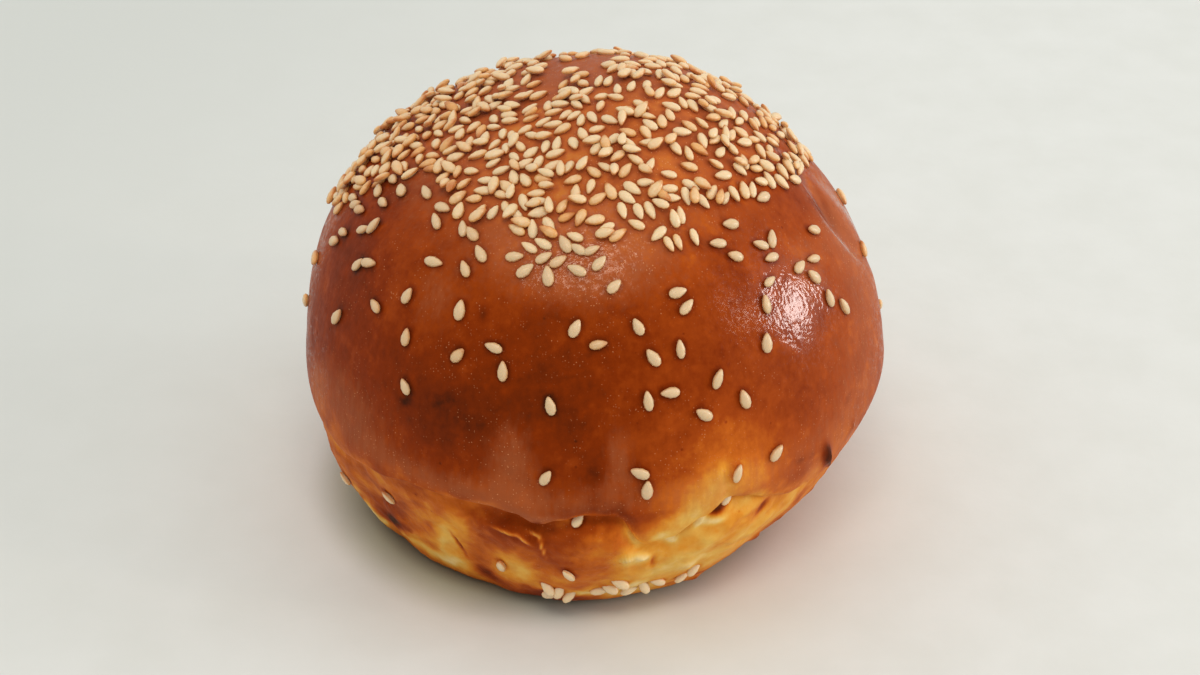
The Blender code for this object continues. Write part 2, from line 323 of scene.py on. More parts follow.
    def frames(self, azimuth: np.ndarray, turn: np.ndarray) -> tuple[np.ndarray, np.ndarray, np.ndarray]:
        """Points of the crust, their outward normals, and their level directions round the bun.

        Args:
            azimuth: Azimuths, in radians.
            turn: Angles from the widest ring, in radians.

        Returns:
            Points, normals and directions, one row for each place.
        """
        here = self.points(azimuth, turn)
        round_it = self.points(azimuth + TINY, turn) - self.points(azimuth - TINY, turn)
        up_it = self.points(azimuth, turn + TINY) - self.points(azimuth, turn - TINY)
        return here, unit(np.cross(round_it, up_it)), unit(round_it)


@dataclass(frozen=True)
class Cloud:
    """A pattern of soft noise: about how large its lumps are, in metres, and how detailed."""

    size: float
    detail: float = 2.0
    stretch: Place = (1.0, 1.0, 1.0)
    roughness: float = 0.55


@dataclass(frozen=True)
class Dots:
    """Small round dots: a cell's size in metres, the share with a dot, and the dot's width in it."""

    size: float
    share: float
    width: float
    core: float = 0.3
    cut: float = 0.02


class Term:
    """A value in a material's node tree, on which sums are written as plain expressions."""

    def __init__(self, graph: "Graph", socket: bpy.types.NodeSocket) -> None:
        """Wraps one output socket of a graph."""
        self.graph = graph
        self.socket = socket

    def __add__(self, other: Value) -> "Term":
        """This and another value added."""
        return self.graph.sum("ADD", self, other)

    def __radd__(self, other: Value) -> "Term":
        """Another value and this one added."""
        return self.graph.sum("ADD", other, self)

    def __sub__(self, other: Value) -> "Term":
        """Another value taken from this one."""
        return self.graph.sum("SUBTRACT", self, other)

    def __rsub__(self, other: Value) -> "Term":
        """This value taken from another."""
        return self.graph.sum("SUBTRACT", other, self)

    def __mul__(self, other: Value) -> "Term":
        """This and another value multiplied."""
        return self.graph.sum("MULTIPLY", self, other)

    def __rmul__(self, other: Value) -> "Term":
        """Another value and this one multiplied."""
        return self.graph.sum("MULTIPLY", other, self)

    def step(self, low: float, high: float) -> "Term":
        """A soft step from 0 at the low value to 1 at the high one.

        Args:
            low: Where it starts.
            high: Where it ends.

        Returns:
            The step.
        """
        node = self.graph.add("ShaderNodeMapRange", {"interpolation_type": "SMOOTHSTEP"}, {
            "Value": self, "From Min": low, "From Max": high})
        return Term(self.graph, node.outputs["Result"])


Value = Union[Term, float]


class Graph:
    """The node tree of a material or a world, with the shader that it feeds."""

    def __init__(self, owner: bpy.types.Material | bpy.types.World) -> None:
        """Opens the tree of a new material or world, with the shader that Blender puts in it.

        Args:
            owner: The material or world.
        """
        owner.use_nodes = True
        self.owner = owner
        self.tree = owner.node_tree
        self.shader = self.tree.nodes.get("Principled BSDF") or self.tree.nodes["Background"]

    def feed(self, socket: bpy.types.NodeSocket, value: object) -> None:
        """Gives a socket a link, where the value is a term or a socket, or else the value itself.

        Args:
            socket: The socket.
            value: What goes into it.
        """
        if isinstance(value, Term):
            value = value.socket
        if isinstance(value, bpy.types.NodeSocket):
            self.tree.links.new(value, socket)
        else:
            socket.default_value = value

    def add(self, kind: str, settings: dict[str, object] | None = None,
            inputs: dict[object, object] | None = None) -> bpy.types.Node:
        """Adds a node.

        Args:
            kind: The node's type.
            settings: Its settings, set first. Stops are a ramp's places and colours.
            inputs: Values or links by the name or number of its sockets.

        Returns:
            The node.
        """
        node = self.tree.nodes.new(kind)
        for name, setting in (settings or {}).items():
            if name == "stops":
                self.fill_ramp(node.color_ramp, setting)
            else:
                setattr(node, name, setting)
        for name, value in (inputs or {}).items():
            self.feed(node.inputs[name], value)
        return node

    @staticmethod
    def fill_ramp(ramp: bpy.types.ColorRamp, stops: Sequence[tuple[float, Colour]]) -> None:
        """Gives a ramp its stops.

        Args:
            ramp: The ramp.
            stops: Places from 0 to 1, with their colours.
        """
        while len(ramp.elements) < len(stops):
            ramp.elements.new(1.0)
        for element, (place, colour) in zip(ramp.elements, stops):
            element.position = place
            element.color = colour

    def sum(self, operation: str, first: Value, second: Value) -> Term:
        """One Math node on two values."""
        node = self.add("ShaderNodeMath", {"operation": operation}, {0: first, 1: second})
        return Term(self, node.outputs[0])

    def attribute(self, name: str) -> Term:
        """A number stored at the mesh's vertices."""
        return Term(self, self.add("ShaderNodeAttribute", {"attribute_name": name}).outputs["Fac"])

    def places(self, stretch: Place = (1.0, 1.0, 1.0)) -> bpy.types.NodeSocket:
        """Places on the object in metres, stretched along its axes.

        Args:
            stretch: How much finer a pattern gets along X, Y and Z.

        Returns:
            The places.
        """
        where = self.add("ShaderNodeTexCoord").outputs["Object"]
        if stretch == (1.0, 1.0, 1.0):
            return where
        return self.add("ShaderNodeMapping", {}, {"Vector": where, "Scale": stretch}).outputs["Vector"]

    def cloud(self, pattern: Cloud) -> Term:
        """Noise from 0 to 1.

        Args:
            pattern: What the noise is like.

        Returns:
            The noise.
        """
        node = self.add("ShaderNodeTexNoise", {}, {
            "Vector": self.places(pattern.stretch), "Scale": 1.0 / pattern.size,
            "Detail": pattern.detail, "Roughness": pattern.roughness})
        return Term(self, node.outputs["Fac"])

    def dots(self, pattern: Dots) -> Term:
        """A mask that is 1 in the middle of each dot and 0 outside.

        Args:
            pattern: What the dots are like.

        Returns:
            The mask.
        """
        cells = self.add("ShaderNodeTexVoronoi", {"feature": "F1"}, {
            "Vector": self.places(), "Scale": 1.0 / pattern.size})
        parts = self.add("ShaderNodeSeparateColor", {}, {"Color": cells.outputs["Color"]})
        near = 1.0 - Term(self, cells.outputs["Distance"]).step(pattern.width * pattern.core, pattern.width)
        empty = 1.0 - pattern.share
        return near * Term(self, parts.outputs["Red"]).step(empty, empty + pattern.cut)

    def mix(self, share: Value, first: object, second: object) -> bpy.types.NodeSocket:
        """One colour fading into another."""
        node = self.add("ShaderNodeMix", {"data_type": "RGBA"}, {0: share, 6: first, 7: second})
        return node.outputs[2]

    def ramp(self, level: Value, stops: Sequence[tuple[float, Colour]]) -> bpy.types.NodeSocket:
        """Colours read off a scale by a level from 0 to 1."""
        return self.add("ShaderNodeValToRGB", {"stops": stops}, {"Fac": level}).outputs["Color"]

    def bump(self, height: Value, rise: float) -> bpy.types.NodeSocket:
        """Normals that follow a height of 0 to 1, which stands for a rise in metres."""
        node = self.add("ShaderNodeBump", {}, {"Strength": 1.0, "Distance": rise, "Height": height})
        return node.outputs["Normal"]

    def fill(self, shader: bpy.types.Node, values: dict[str, object]) -> None:
        """Sets or feeds a shader's sockets, which are named in lower case with underscores."""
        for name, value in values.items():
            self.feed(shader.inputs[name.replace("_", " ").title().replace("Ior", "IOR")], value)

    def plain(self, **values: object) -> None:
        """Sets or feeds sockets of the tree's own shader."""
        self.fill(self.shader, values)

    def second_shader(self, **values: object) -> bpy.types.Node:
        """Another Principled shader, with sockets set or fed.

        Args:
            values: Values or links by socket.

        Returns:
            The shader.
        """
        shader = self.add("ShaderNodeBsdfPrincipled")
        self.fill(shader, values)
        return shader

    def layer(self, share: Value, over: bpy.types.Node) -> None:
        """Mixes a second shader over the tree's own one, by a share from 0 to 1.

        Args:
            share: How much the second one covers.
            over: The second one.
        """
        mixed = self.add("ShaderNodeMixShader", {}, {
            0: share, 1: self.shader.outputs[0], 2: over.outputs[0]})
        self.feed(self.tree.nodes["Material Output"].inputs["Surface"], mixed.outputs[0])


@dataclass(frozen=True)
class CrustFinish:
    """Egg-washed crust: cream where it stayed pale, through gold and rust to dark chestnut.

    Tones are changes to how dark it is baked, heights are in millimetres, and a fade is where a
    pattern starts and where it is full.
    """

    stops: tuple[tuple[float, Colour], ...] = (
        (0.00, seen(238, 206, 140)), (0.18, seen(230, 180, 86)), (0.34, seen(222, 144, 46)),
        (0.50, seen(196, 98, 26)), (0.64, seen(158, 64, 13)), (0.78, seen(126, 42, 4)),
        (0.90, seen(98, 31, 5)), (1.00, seen(56, 20, 9)))
    speck: Colour = seen(222, 150, 102)
    # A pale tan film: dusty egg wash in places, painted sheen at the crown's edges and over its top.
    film_and_sheen: Colour = seen(176, 102, 64)
    sheen: Colour = (1.0, 0.45, 0.12, 1.0)
    glaze: Colour = (1.0, 0.86, 0.76, 1.0)
    dry_roughness: float = 0.58
    wet_roughness: float = 0.11
    streaks: Cloud = Cloud(0.9 * MM, 2.0, (1.0, 1.0, 0.12))
    mottle: Cloud = Cloud(1.3 * MM, 4.0)
    freckles: Cloud = Cloud(3.6 * MM, 3.0)
    lines: Cloud = Cloud(7.0 * MM, 1.0, (1.0, 1.0, 0.6))
    patches: Cloud = Cloud(5.0 * MM)
    blotches: Cloud = Cloud(9.0 * MM, 3.0)
    foot_blotches: Cloud = Cloud(3.4 * MM, 3.0)
    flecks: Cloud = Cloud(0.72 * MM, 1.5, (1.0, 1.0, 0.75))
    waves: Cloud = Cloud(2.6 * MM, 2.0, (1.0, 1.0, 0.5))
    puckers: Cloud = Cloud(1.9 * MM, 4.0)
    pits: Dots = Dots(2.3 * MM, 0.14, 0.15)
    specks: Dots = Dots(0.42 * MM, 0.36, 0.30)
    film_and_sheen_fade: Fade = (0.15, 0.95)
    film_and_sheen_share: float = 0.42
    chain_fade: Fade = (0.0002, 0.0020)
    patch_fade: Fade = (0.47, 0.60)
    speck_share: float = 0.60
    blotch_tone: float = 0.18
    foot_blotch_tone: float = 0.20
    pit_tone: float = 0.10
    dark_freckles: Fade = (0.55, 0.72)
    pale_freckles: Fade = (0.50, 0.32)
    freckle_tone: float = 0.05
    wave_height: float = 0.09
    pucker_height: float = 0.22
    streak_height: float = 0.02
    speck_height: float = 0.03
    pit_depth: float = 0.05
    edge_blend: float = 0.30
    edge_shine: float = 0.40
    shine_fade: Fade = (0.62, 1.12)

    def make(self) -> bpy.types.Material:
        """The finish as a material that reads the crust's bake, gloss, crinkle, film and painted sheen, and
        foot.

        Returns:
            The material.
        """
        graph = Graph(bpy.data.materials.new("baked_crust"))
        gloss = graph.attribute("gloss")
        foot = graph.attribute("foot")
        streaks = graph.cloud(self.streaks) - 0.5
        mottle = graph.cloud(self.mottle) - 0.5
        freckles = graph.cloud(self.freckles)
        # Pale film: dusty egg wash in places, painted sheen at the crown's edges and over its top.
        film_and_sheen = (graph.attribute("haze") + mottle * 0.5 + streaks * 0.7).step(*self.film_and_sheen_fade)
        pits = graph.dots(self.pits)
        lines = graph.cloud(self.lines) - 0.5
        chains = 1.0 - (lines * lines).step(*self.chain_fade)
        patches = graph.cloud(self.patches).step(*self.patch_fade)
        specks = graph.dots(self.specks) * (chains * 0.5 + patches * 0.4 + film_and_sheen * 0.6)
        level = graph.attribute("bake") + (graph.cloud(self.blotches) - 0.5) * self.blotch_tone
        level = level + mottle * (0.13 - foot * 0.06) + streaks * (0.07 - foot * 0.06)
        level = level + pits * self.pit_tone
        level = level + (graph.cloud(self.foot_blotches) - 0.5) * foot * self.foot_blotch_tone
        darker = freckles.step(*self.dark_freckles) - freckles.step(*self.pale_freckles)
        level = level + darker * self.freckle_tone
        colour = graph.mix(film_and_sheen * self.film_and_sheen_share, graph.ramp(level, self.stops), self.film_and_sheen)
        colour = graph.mix(specks * self.speck_share, colour, self.speck)
        flecks = graph.cloud(self.flecks)
        waves = graph.cloud(self.waves) * self.wave_height
        puckers = graph.cloud(self.puckers) * foot * self.pucker_height
        relief = flecks * graph.attribute("crinkle") + waves + puckers + streaks * self.streak_height
        relief = relief + specks * self.speck_height - pits * self.pit_depth
        normal = graph.bump(relief, MM)
        graph.plain(base_color=colour, normal=normal, roughness=mottle * 0.2 + self.dry_roughness,
                    specular_ior_level=0.15, specular_tint=self.sheen)
        wet = graph.second_shader(
            base_color=colour, normal=normal, roughness=mottle * 0.05 + self.wet_roughness,
            specular_ior_level=0.45, specular_tint=self.glaze)
        facing = graph.add("ShaderNodeLayerWeight", {}, {"Blend": self.edge_blend}).outputs["Facing"]
        shine = gloss * 1.1 + flecks * 0.8 + Term(graph, facing) * (1.0 - foot) * self.edge_shine
        graph.layer(shine.step(*self.shine_fade), wet)
        return graph.owner


@dataclass(frozen=True)
class SeedFinish:
    """Hulled sesame: ivory with a golden, toasted tip, a golden rim partly painted shade, and painted shade
    on the flank.
    """

    pale: Colour = seen(230, 201, 158)
    golden: Colour = seen(221, 160, 90)
    toasted: Colour = seen(190, 112, 46)
    shaded_tan: Colour = seen(192, 156, 116)
    mottle: Cloud = Cloud(0.6 * MM, 3.0)
    grain: Cloud = Cloud(0.35 * MM)
    grain_rise: float = 0.04 * MM
    gilt_fade: Fade = (0.20, 1.10)
    tan_fade: Fade = (0.80, 1.40)
    roughness: float = 0.42

    def make(self) -> bpy.types.Material:
        """The finish as a material that reads each seed's toast, tip, rim and painted shade.

        Returns:
            The material.
        """
        graph = Graph(bpy.data.materials.new("sesame_seed"))
        toast = graph.attribute("toast")
        tip = graph.attribute("tip")
        rim = graph.attribute("rim")
        rim = rim * rim
        mottle = graph.cloud(self.mottle) - 0.5
        # The rim's gold is partly the seed's golden edge and partly painted shade on its sides.
        gilt = (toast + rim * 0.80 + mottle * 0.5).step(*self.gilt_fade)
        tan = (tip * 0.75 + toast * 0.55 + rim * 0.50 + mottle * 0.4).step(*self.tan_fade)
        colour = graph.mix(tan, graph.mix(gilt, self.pale, self.golden), self.toasted)
        # The flank seeds are mixed towards a greyer tan here: painted shade.
        colour = graph.mix(graph.attribute("seed_shade"), colour, self.shaded_tan)
        graph.plain(base_color=colour, roughness=mottle * 0.16 + self.roughness, coat_weight=0.25,
                    coat_roughness=0.25, subsurface_weight=0.15, subsurface_scale=0.001,
                    subsurface_radius=(1.0, 0.6, 0.3),
                    normal=graph.bump(graph.cloud(self.grain), self.grain_rise))
        return graph.owner


@dataclass(frozen=True)
class Shade:
    """A round shade on the board: how far left its middle lies, and the radii of its soft edge."""

    left: float
    inner: float
    outer: float

    def outside(self, across: Term, ahead: Term) -> Term:
        """How far out of the shade each place is, from 0 in its middle to 1 past its edge."""
        aside = across + self.left
        return (aside * aside + ahead * ahead).step(self.inner * self.inner, self.outer * self.outer)


@dataclass(frozen=True)
class FloorFinish:
    """A pale board, faintly mottled, with painted shade: greyer to the far left, away from the light, and
    darker where the bun shades it.
    """

    light: Colour = seen(222, 224, 221)
    dark: Colour = seen(217, 219, 215)
    mottle: Cloud = Cloud(14.0 * MM, 6.0)
    mottle_fade: Fade = (0.2, 0.8)
    # Painted shade: the board greys towards the far left, away from the lights on the right.
    far_left_shade: Colour = seen(204, 207, 203)
    far_left_shade_fade: Fade = (-0.02, 0.22)
    shaded: Colour = seen(160, 163, 142)
    broad_shade: Shade = Shade(7.0 * MM, 31.62 * MM, 43.59 * MM)
    contact: Colour = seen(128, 121, 100)
    close_shade: Shade = Shade(5.0 * MM, 31.94 * MM, 36.33 * MM)
    grain: Cloud = Cloud(3.0 * MM, 4.0)
    grain_rise: float = 0.05 * MM

    def make(self) -> bpy.types.Material:
        """The finish as a material.

        Returns:
            The material.
        """
        graph = Graph(bpy.data.materials.new("pale_board"))
        parts = graph.add("ShaderNodeSeparateXYZ", {}, {"Vector": graph.places()})
        across = Term(graph, parts.outputs["X"])
        ahead = Term(graph, parts.outputs["Y"])
        near = graph.mix(graph.cloud(self.mottle).step(*self.mottle_fade), self.light, self.dark)
        colour = graph.mix((ahead * 0.5 - across).step(*self.far_left_shade_fade), near, self.far_left_shade)
        colour = graph.mix(self.broad_shade.outside(across, ahead), self.shaded, colour)
        colour = graph.mix(self.close_shade.outside(across, ahead), self.contact, colour)
        graph.plain(base_color=colour, normal=graph.bump(graph.cloud(self.grain), self.grain_rise),
                    roughness=0.7, specular_ior_level=0.2)
        return graph.owner


class Effect(Enum):
    """What a spot does to the crust."""

    BAKE = "bake"
    RISE = "rise"
    GLOSS = "gloss"
    # Pale film: dusty egg wash in places, painted sheen at the crown's edges and over its top.
    HAZE = "haze"
    CRINKLE = "crinkle"


@dataclass(frozen=True)
class Spot:
    """A soft oval on the crust: darker or paler, raised or sunk, glossy, crinkled, or under pale film and
    painted sheen.

    Angles are in degrees, and places, sizes and the rise in millimetres. The slope turns its long
    side up from level.
    """

    azimuth: float
    height: float
    long: float
    wide: float
    bake: float = 0.0
    rise: float = 0.0
    slope: float = 0.0
    gloss: float = 0.0
    haze: float = 0.0
    crinkle: float = 0.0

    def cover(self, azimuth: np.ndarray, height: np.ndarray, radius: float) -> np.ndarray:
        """How much it covers places, from 0 to 1.

        Args:
            azimuth: Azimuths of the places, in radians.
            height: Their heights, in metres.
            radius: The bun's radius, in metres.

        Returns:
            The share at each place.
        """
        round_it = (np.degrees(azimuth) - self.azimuth + 180.0) % 360.0 - 180.0
        level = np.radians(round_it) * radius / MM
        up = height / MM - self.height
        lie = math.radians(self.slope)
        along = (level * math.cos(lie) + up * math.sin(lie)) / self.long
        aside = (up * math.cos(lie) - level * math.sin(lie)) / self.wide
        return np.exp(-along * along - aside * aside)


@dataclass
class Crust:
    """The whole bare bun: crown, lip, foot and flat underside, as one closed skin.

    Folds are fine relief with tones of their own, tones only change its colour, film and painted
    sheen, and glosses only its shine and crinkle. Under a heading, tones go from left to right.
    """

    form: BunForm
    segments: int = 100
    rings: int = 58
    divisions: int = 2
    crown_rows: int = 124
    foot_rows: int = 96
    base_rows: int = 12
    crown_crowding: float = 1.1
    foot_crowding: float = 1.2
    front_crowding: float = 0.34
    folds: tuple[Spot, ...] = (
        # Painted shade in the hollow and notch under the lip, and its wrinkles paled as painted highlights
        Spot(-16, 24.8, 6.5, 1.9, 0.08, -1.1), Spot(3, 26.2, 6, 1.3, 0.06, -0.6),
        Spot(-9.8, 25.6, 1.5, 0.6, 0.08, -0.4, 90),
        Spot(-16.2, 22, 2.3, 0.29, -0.52, 0.45, -3, gloss=0.5, haze=0.5),
        Spot(-12.4, 21, 1.4, 0.27, -0.48, 0.4, -42, gloss=0.5, haze=0.5),
        Spot(-10.6, 22, 1.1, 0.27, -0.46, 0.35, -25, gloss=0.5, haze=0.4),
        Spot(-8.8, 19.7, 2, 0.29, -0.5, 0.4, -72, gloss=0.5, haze=0.5),
        Spot(8.2, 22.4, 2.4, 0.5, -0.2, 0.45, -62, haze=0.5),
        # Bumps on the front of the foot: glossy, and paled as painted highlights
        Spot(7.8, 17.9, 1.2, 0.6, -0.22, 0.6, gloss=0.5),
        Spot(11.3, 17.4, 1.1, 0.7, -0.3, 0.8, -20, gloss=0.6), Spot(9.4, 17.2, 2.8, 1.6, -0.11, 0.3),
        Spot(16.6, 20.2, 1, 0.7, -0.42, 0.5, -30, gloss=0.5),
        Spot(22.6, 12.2, 1.9, 1.2, -0.14, 0.6, haze=0.4), Spot(14, 15.3, 1.7, 0.45, 0.26, -0.4, 100),
        Spot(24, 17.5, 3.2, 1.3, -0.05, 0.45, 40), Spot(19, 16, 2.2, 1.2, -0.05, 0.45, 70),
        # The pinched crease on the right, the brown crumb in it and its pale torn edge
        Spot(21.6, 23.9, 1.7, 0.5, -0.34, 0.55, 58),
        Spot(23.8, 23.5, 2.1, 0.8, -0.38, 0.5, 5, gloss=0.3),
        Spot(24.7, 25.4, 1.4, 0.85, 0.85, slope=35), Spot(18.4, 22.3, 2, 0.6, 0.06, -0.6, 45),
        Spot(30.5, 26.4, 3.6, 0.6, 0.05, -0.5, -25), Spot(25.6, 31.5, 3.4, 0.8, 0.03, -0.5, 84),
        Spot(38, 17, 4, 0.9, -0.05, 0.4, 35), Spot(33, 14, 3.5, 0.7, 0.05, -0.3, -15),
        Spot(36.2, 21.7, 1.5, 0.8, 0.46, -0.3, 45), Spot(32, 23, 3, 0.8, -0.06, 0.4, 10),
        # A thin crack and a puckered edge on the left
        Spot(-28.9, 13.2, 2.9, 0.36, 0.55, -0.5, -76), Spot(-50, 14.6, 4, 0.8, 0.18, -0.4, 25),
        Spot(-41, 9.5, 4, 0.9, -0.05, 0.4, 20), Spot(-36, 17.5, 3.5, 0.9, -0.05, 0.35, 35),
        Spot(-24.5, 19.5, 3.6, 0.6, 0.1, -0.35, 80), Spot(-33.5, 11, 3.6, 0.5, -0.08, 0.35, 70),
        # Torn dark flap at the right end of the lip
        Spot(51, 26.4, 2.3, 0.9, 0.85, 1.1, -72), Spot(54.2, 22.8, 3.8, 0.42, 0.55, 0.4, -48),
        Spot(60, 27.4, 1.4, 0.6, 0.25, 0.4, 60),
        # Small torn tips along the right of the foot
        Spot(58, 14, 1.5, 1, 0.22, 0.3, 20), Spot(52, 9.5, 1.4, 0.9, 0.2, 0.35, 10),
        Spot(44.5, 9, 1.5, 0.9, 0.22, 1.1), Spot(62, 19.5, 1.2, 0.9, 0.16, 0.2, 40),
        Spot(31.5, 2.8, 1.5, 0.8, 0.2, 0.7))
    tones: tuple[Spot, ...] = (
        # Crown: darkest on the front and left, warmer to the right, paler at the very top
        Spot(-90, 46, 9, 14, -0.06, haze=0.5), Spot(-88, 65, 8, 6, -0.08), Spot(-82, 70, 7, 2.4, -0.06),
        Spot(-71, 52, 4, 6, haze=-0.5), Spot(-70, 38, 4, 4, 0.05, haze=-0.6), Spot(-69, 66, 8, 3.5, 0.1),
        Spot(-68, 54, 9, 6, 0.07), Spot(-62, 60, 3.5, 8, 0.05), Spot(-60, 28.6, 9, 1.7, -0.12, haze=0.2),
        Spot(-60, 73.8, 20, 1.8, -0.19), Spot(-58, 25, 10, 2.6, -0.1), Spot(-55, 54, 3.6, 3, 0.09),
        # Spot(-38, 25.8, …) below darkens the groove under the lip on the left: painted shade.
        Spot(-50, 43, 12, 10, 0.06), Spot(-46, 70, 4, 2.2, -0.07), Spot(-38, 25.8, 7, 2.2, 0.12),
        Spot(-38, 31.5, 10, 2, 0.06), Spot(-30, 66, 4, 2.6, 0.07), Spot(-26, 43, 15, 8, 0.09),
        Spot(-26, 43, 6.5, 4.5, 0.07), Spot(-26, 70, 13, 3, -0.04, haze=0.3),
        Spot(-22, 66, 3.2, 2, 0.06), Spot(-20, 70, 5, 2, -0.08),
        Spot(-19, 27.4, 3.2, 1.8, -0.1, haze=0.4), Spot(-19, 26.8, 2.2, 1.2, 0.12, haze=-0.4),
        Spot(-13, 27.2, 3, 2.4, -0.12, haze=0.3), Spot(-10, 70, 16, 4, -0.05),
        # Spot(-9.9, 27.3, …) below pales the lip's edge over the groove: painted light.
        Spot(-9.9, 27.3, 3.6, 1.2, -0.2, haze=0.8), Spot(-6, 50, 13, 9, 0.1),
        Spot(-4, 24.6, 2, 1.6, 0.1), Spot(0, 75, 40, 12, -0.12), Spot(0, 67.5, 18, 5, -0.05, haze=0.8),
        Spot(1.5, 27.2, 3.4, 3, 0.09), Spot(2, 34.5, 4, 2.4, haze=0.4), Spot(4, 25, 3.4, 1.4, 0.06),
        Spot(10, 25, 3, 1.6, -0.06), Spot(12, 27, 3.2, 2.8, -0.08), Spot(16, 51, 20, 7, -0.03),
        Spot(17.5, 27, 4.8, 1.9, -0.12, slope=35), Spot(28, 30, 7, 3.5, -0.07),
        Spot(30, 27.5, 7, 4, -0.03, haze=0.3), Spot(33, 25, 6, 1.7, -0.09, slope=-20),
        Spot(37, 70, 7, 2.6, -0.14), Spot(39, 33.5, 8, 3, -0.06), Spot(42, 66, 26, 3, -0.04),
        Spot(46.5, 25.2, 2.4, 1.8, -0.08, haze=0.3), Spot(50, 25, 3.4, 1.8, -0.14, haze=0.2),
        Spot(51, 26.3, 2.3, 1.1, slope=-72, haze=-0.9), Spot(57, 26, 4, 2.6, -0.1, haze=0.3),
        Spot(58, 53.5, 3, 3, -0.05, haze=0.3), Spot(58, 66, 3.2, 2, -0.06),
        Spot(61, 56.5, 6, 4, -0.06, haze=0.4), Spot(62, 73.8, 20, 1.8, -0.13),
        Spot(70, 61.5, 8, 3.6, 0.08, haze=-0.5), Spot(70, 66, 6, 2.2, -0.07), Spot(74, 46, 4, 2.6, 0.06),
        # Spot(83, 57.5, …) below darkens the shoulder valley: painted shade.
        Spot(83, 57.5, 4, 2.6, 0.22, haze=-0.7), Spot(85, 42, 30, 26, -0.1),
        Spot(86, 63, 6, 4, 0.03, haze=-0.4), Spot(86, 73.8, 8, 1.6, -0.08), Spot(86, 66, 6, 2.4, -0.06),
        Spot(90, 61.5, 4, 3, 0.05, haze=-0.5),
        # The side that faces away
        Spot(-160, 13, 12, 5, 0.08), Spot(-142, 44, 13, 9, 0.06), Spot(-118, 15, 9, 5, -0.06),
        Spot(120, 18, 9, 5, 0.07), Spot(140, 40, 13, 8, 0.05), Spot(165, 14, 12, 5, -0.08),
        Spot(180, 52, 26, 12, -0.05, haze=0.3),
        # The crown's pale gold lower edge over the pinched crease
        Spot(12.8, 22.4, 2.6, 1.3, -0.3), Spot(18, 26.6, 6.8, 3.4, -0.34, slope=38, haze=0.3),
        Spot(23, 32, 8.5, 3.2, -0.22, haze=0.3), Spot(25, 37.5, 9.5, 5.5, -0.17),
        Spot(54, 29, 22, 6, -0.08, haze=0.5),
        # Small darker marks on the crown
        Spot(-36.5, 41.5, 2, 0.6, 0.14, slope=-10), Spot(-22.5, 57.3, 0.9, 0.9, 0.14),
        Spot(-4, 39, 3.5, 3.5, 0.03), Spot(0.8, 36.3, 2.1, 2, 0.13, haze=-0.5),
        Spot(42.5, 29.6, 1, 0.7, 0.18), Spot(46.5, 28.4, 0.8, 0.6, 0.14), Spot(59, 33, 0.9, 0.7, 0.14),
        # Dusty, paler patches on the crown; at its left and right edges and over its top, painted sheen
        Spot(-68, 33, 5, 6, -0.13, haze=0.8), Spot(-52, 36, 11, 6, -0.03, haze=0.6),
        Spot(-35, 57, 5, 4, -0.03, haze=0.5), Spot(-22, 30.6, 32, 2.8, -0.04, haze=0.7),
        Spot(-14.5, 37, 4.2, 6, -0.04, haze=0.8), Spot(0, 75, 400, 10.5, -0.09, haze=1),
        Spot(0, 63, 18, 4, -0.04, haze=0.6), Spot(5.5, 38.5, 2.4, 5, -0.04, haze=0.7),
        Spot(66, 38, 14, 10, haze=0.4), Spot(84, 52, 14, 14, -0.03, haze=0.9),
        # Spot(85.8, 58.6, …) below is the pale streak on the right shoulder: painted reflection.
        Spot(85.8, 58.6, 3.8, 0.8, -0.16, slope=40, haze=1), Spot(94, 56, 8, 7, -0.03, haze=0.4),
        # Foot: pale gold, brown and nearly burnt patches
        Spot(-63.2, 10.4, 2.4, 1.1, -0.3, slope=62), Spot(-63, 17, 4, 3, -0.08),
        Spot(-60.3, 7.2, 3.2, 1.3, -0.6, slope=62), Spot(-58.3, 11.4, 2, 1.8, 0.15),
        Spot(-58.2, 5.8, 2.6, 1.1, -0.4, slope=57), Spot(-57, 20, 10, 4, 0.1),
        Spot(-53, 10.2, 4.6, 2.2, 0.26, slope=15), Spot(-53, 7.6, 3, 1.8, 0.16),
        Spot(-51, 9, 3, 1.5, 0.36, slope=18), Spot(-48.8, 9.4, 2.6, 1.3, 0.14, slope=10),
        Spot(-48.5, 5.2, 4.6, 1, -0.18), Spot(-46, 14.5, 5, 1.2, 0.12, slope=40),
        Spot(-45.4, 8.4, 2.4, 1.2, -0.16, slope=20), Spot(-40, 24, 6, 2.4, 0.06),
        Spot(-38, 16.5, 3.5, 3, -0.1, slope=40), Spot(-38, 8.5, 3.4, 2.6, 0.03),
        Spot(-37, 5.6, 7, 2.2, -0.3, slope=5), Spot(-35, 10, 3, 2.6, -0.08), Spot(-35, 18.5, 5, 3, 0.07),
        Spot(-31.5, 4.4, 2.6, 1.6, -0.06), Spot(-31, 5.5, 4, 2.8, -0.14),
        Spot(-30.8, 15, 7.5, 2.6, -0.26, slope=72), Spot(-30.5, 19, 2.4, 1.8, 0.07),
        Spot(-25.5, 19.5, 2.4, 4.5, -0.12), Spot(-22.8, 5.4, 3, 2, 0.36),
        Spot(-22.6, 14, 6, 2, 0.1, slope=90), Spot(-22.5, 7.5, 2.5, 2, 0.1),
        # Spot(-14.5, 23, …) below and Spot(-11.5, 18.5, …) darken the hollow under the lip: painted shade.
        Spot(-19.5, 17.2, 1.8, 2.2, 0.1), Spot(-14.5, 23, 8.5, 4.3, 0.2), Spot(-14.2, 11.6, 4, 4, -0.19),
        Spot(-14, 14, 3.8, 3.8, -0.12), Spot(-11.5, 18.5, 5, 3.6, 0.1), Spot(-10, 5, 8, 2.4, 0.1),
        # Spot(-8, 2.4, …) and Spot(-1, 3, …) darken the foot's bottom rim at the front: painted contact
        # shade.
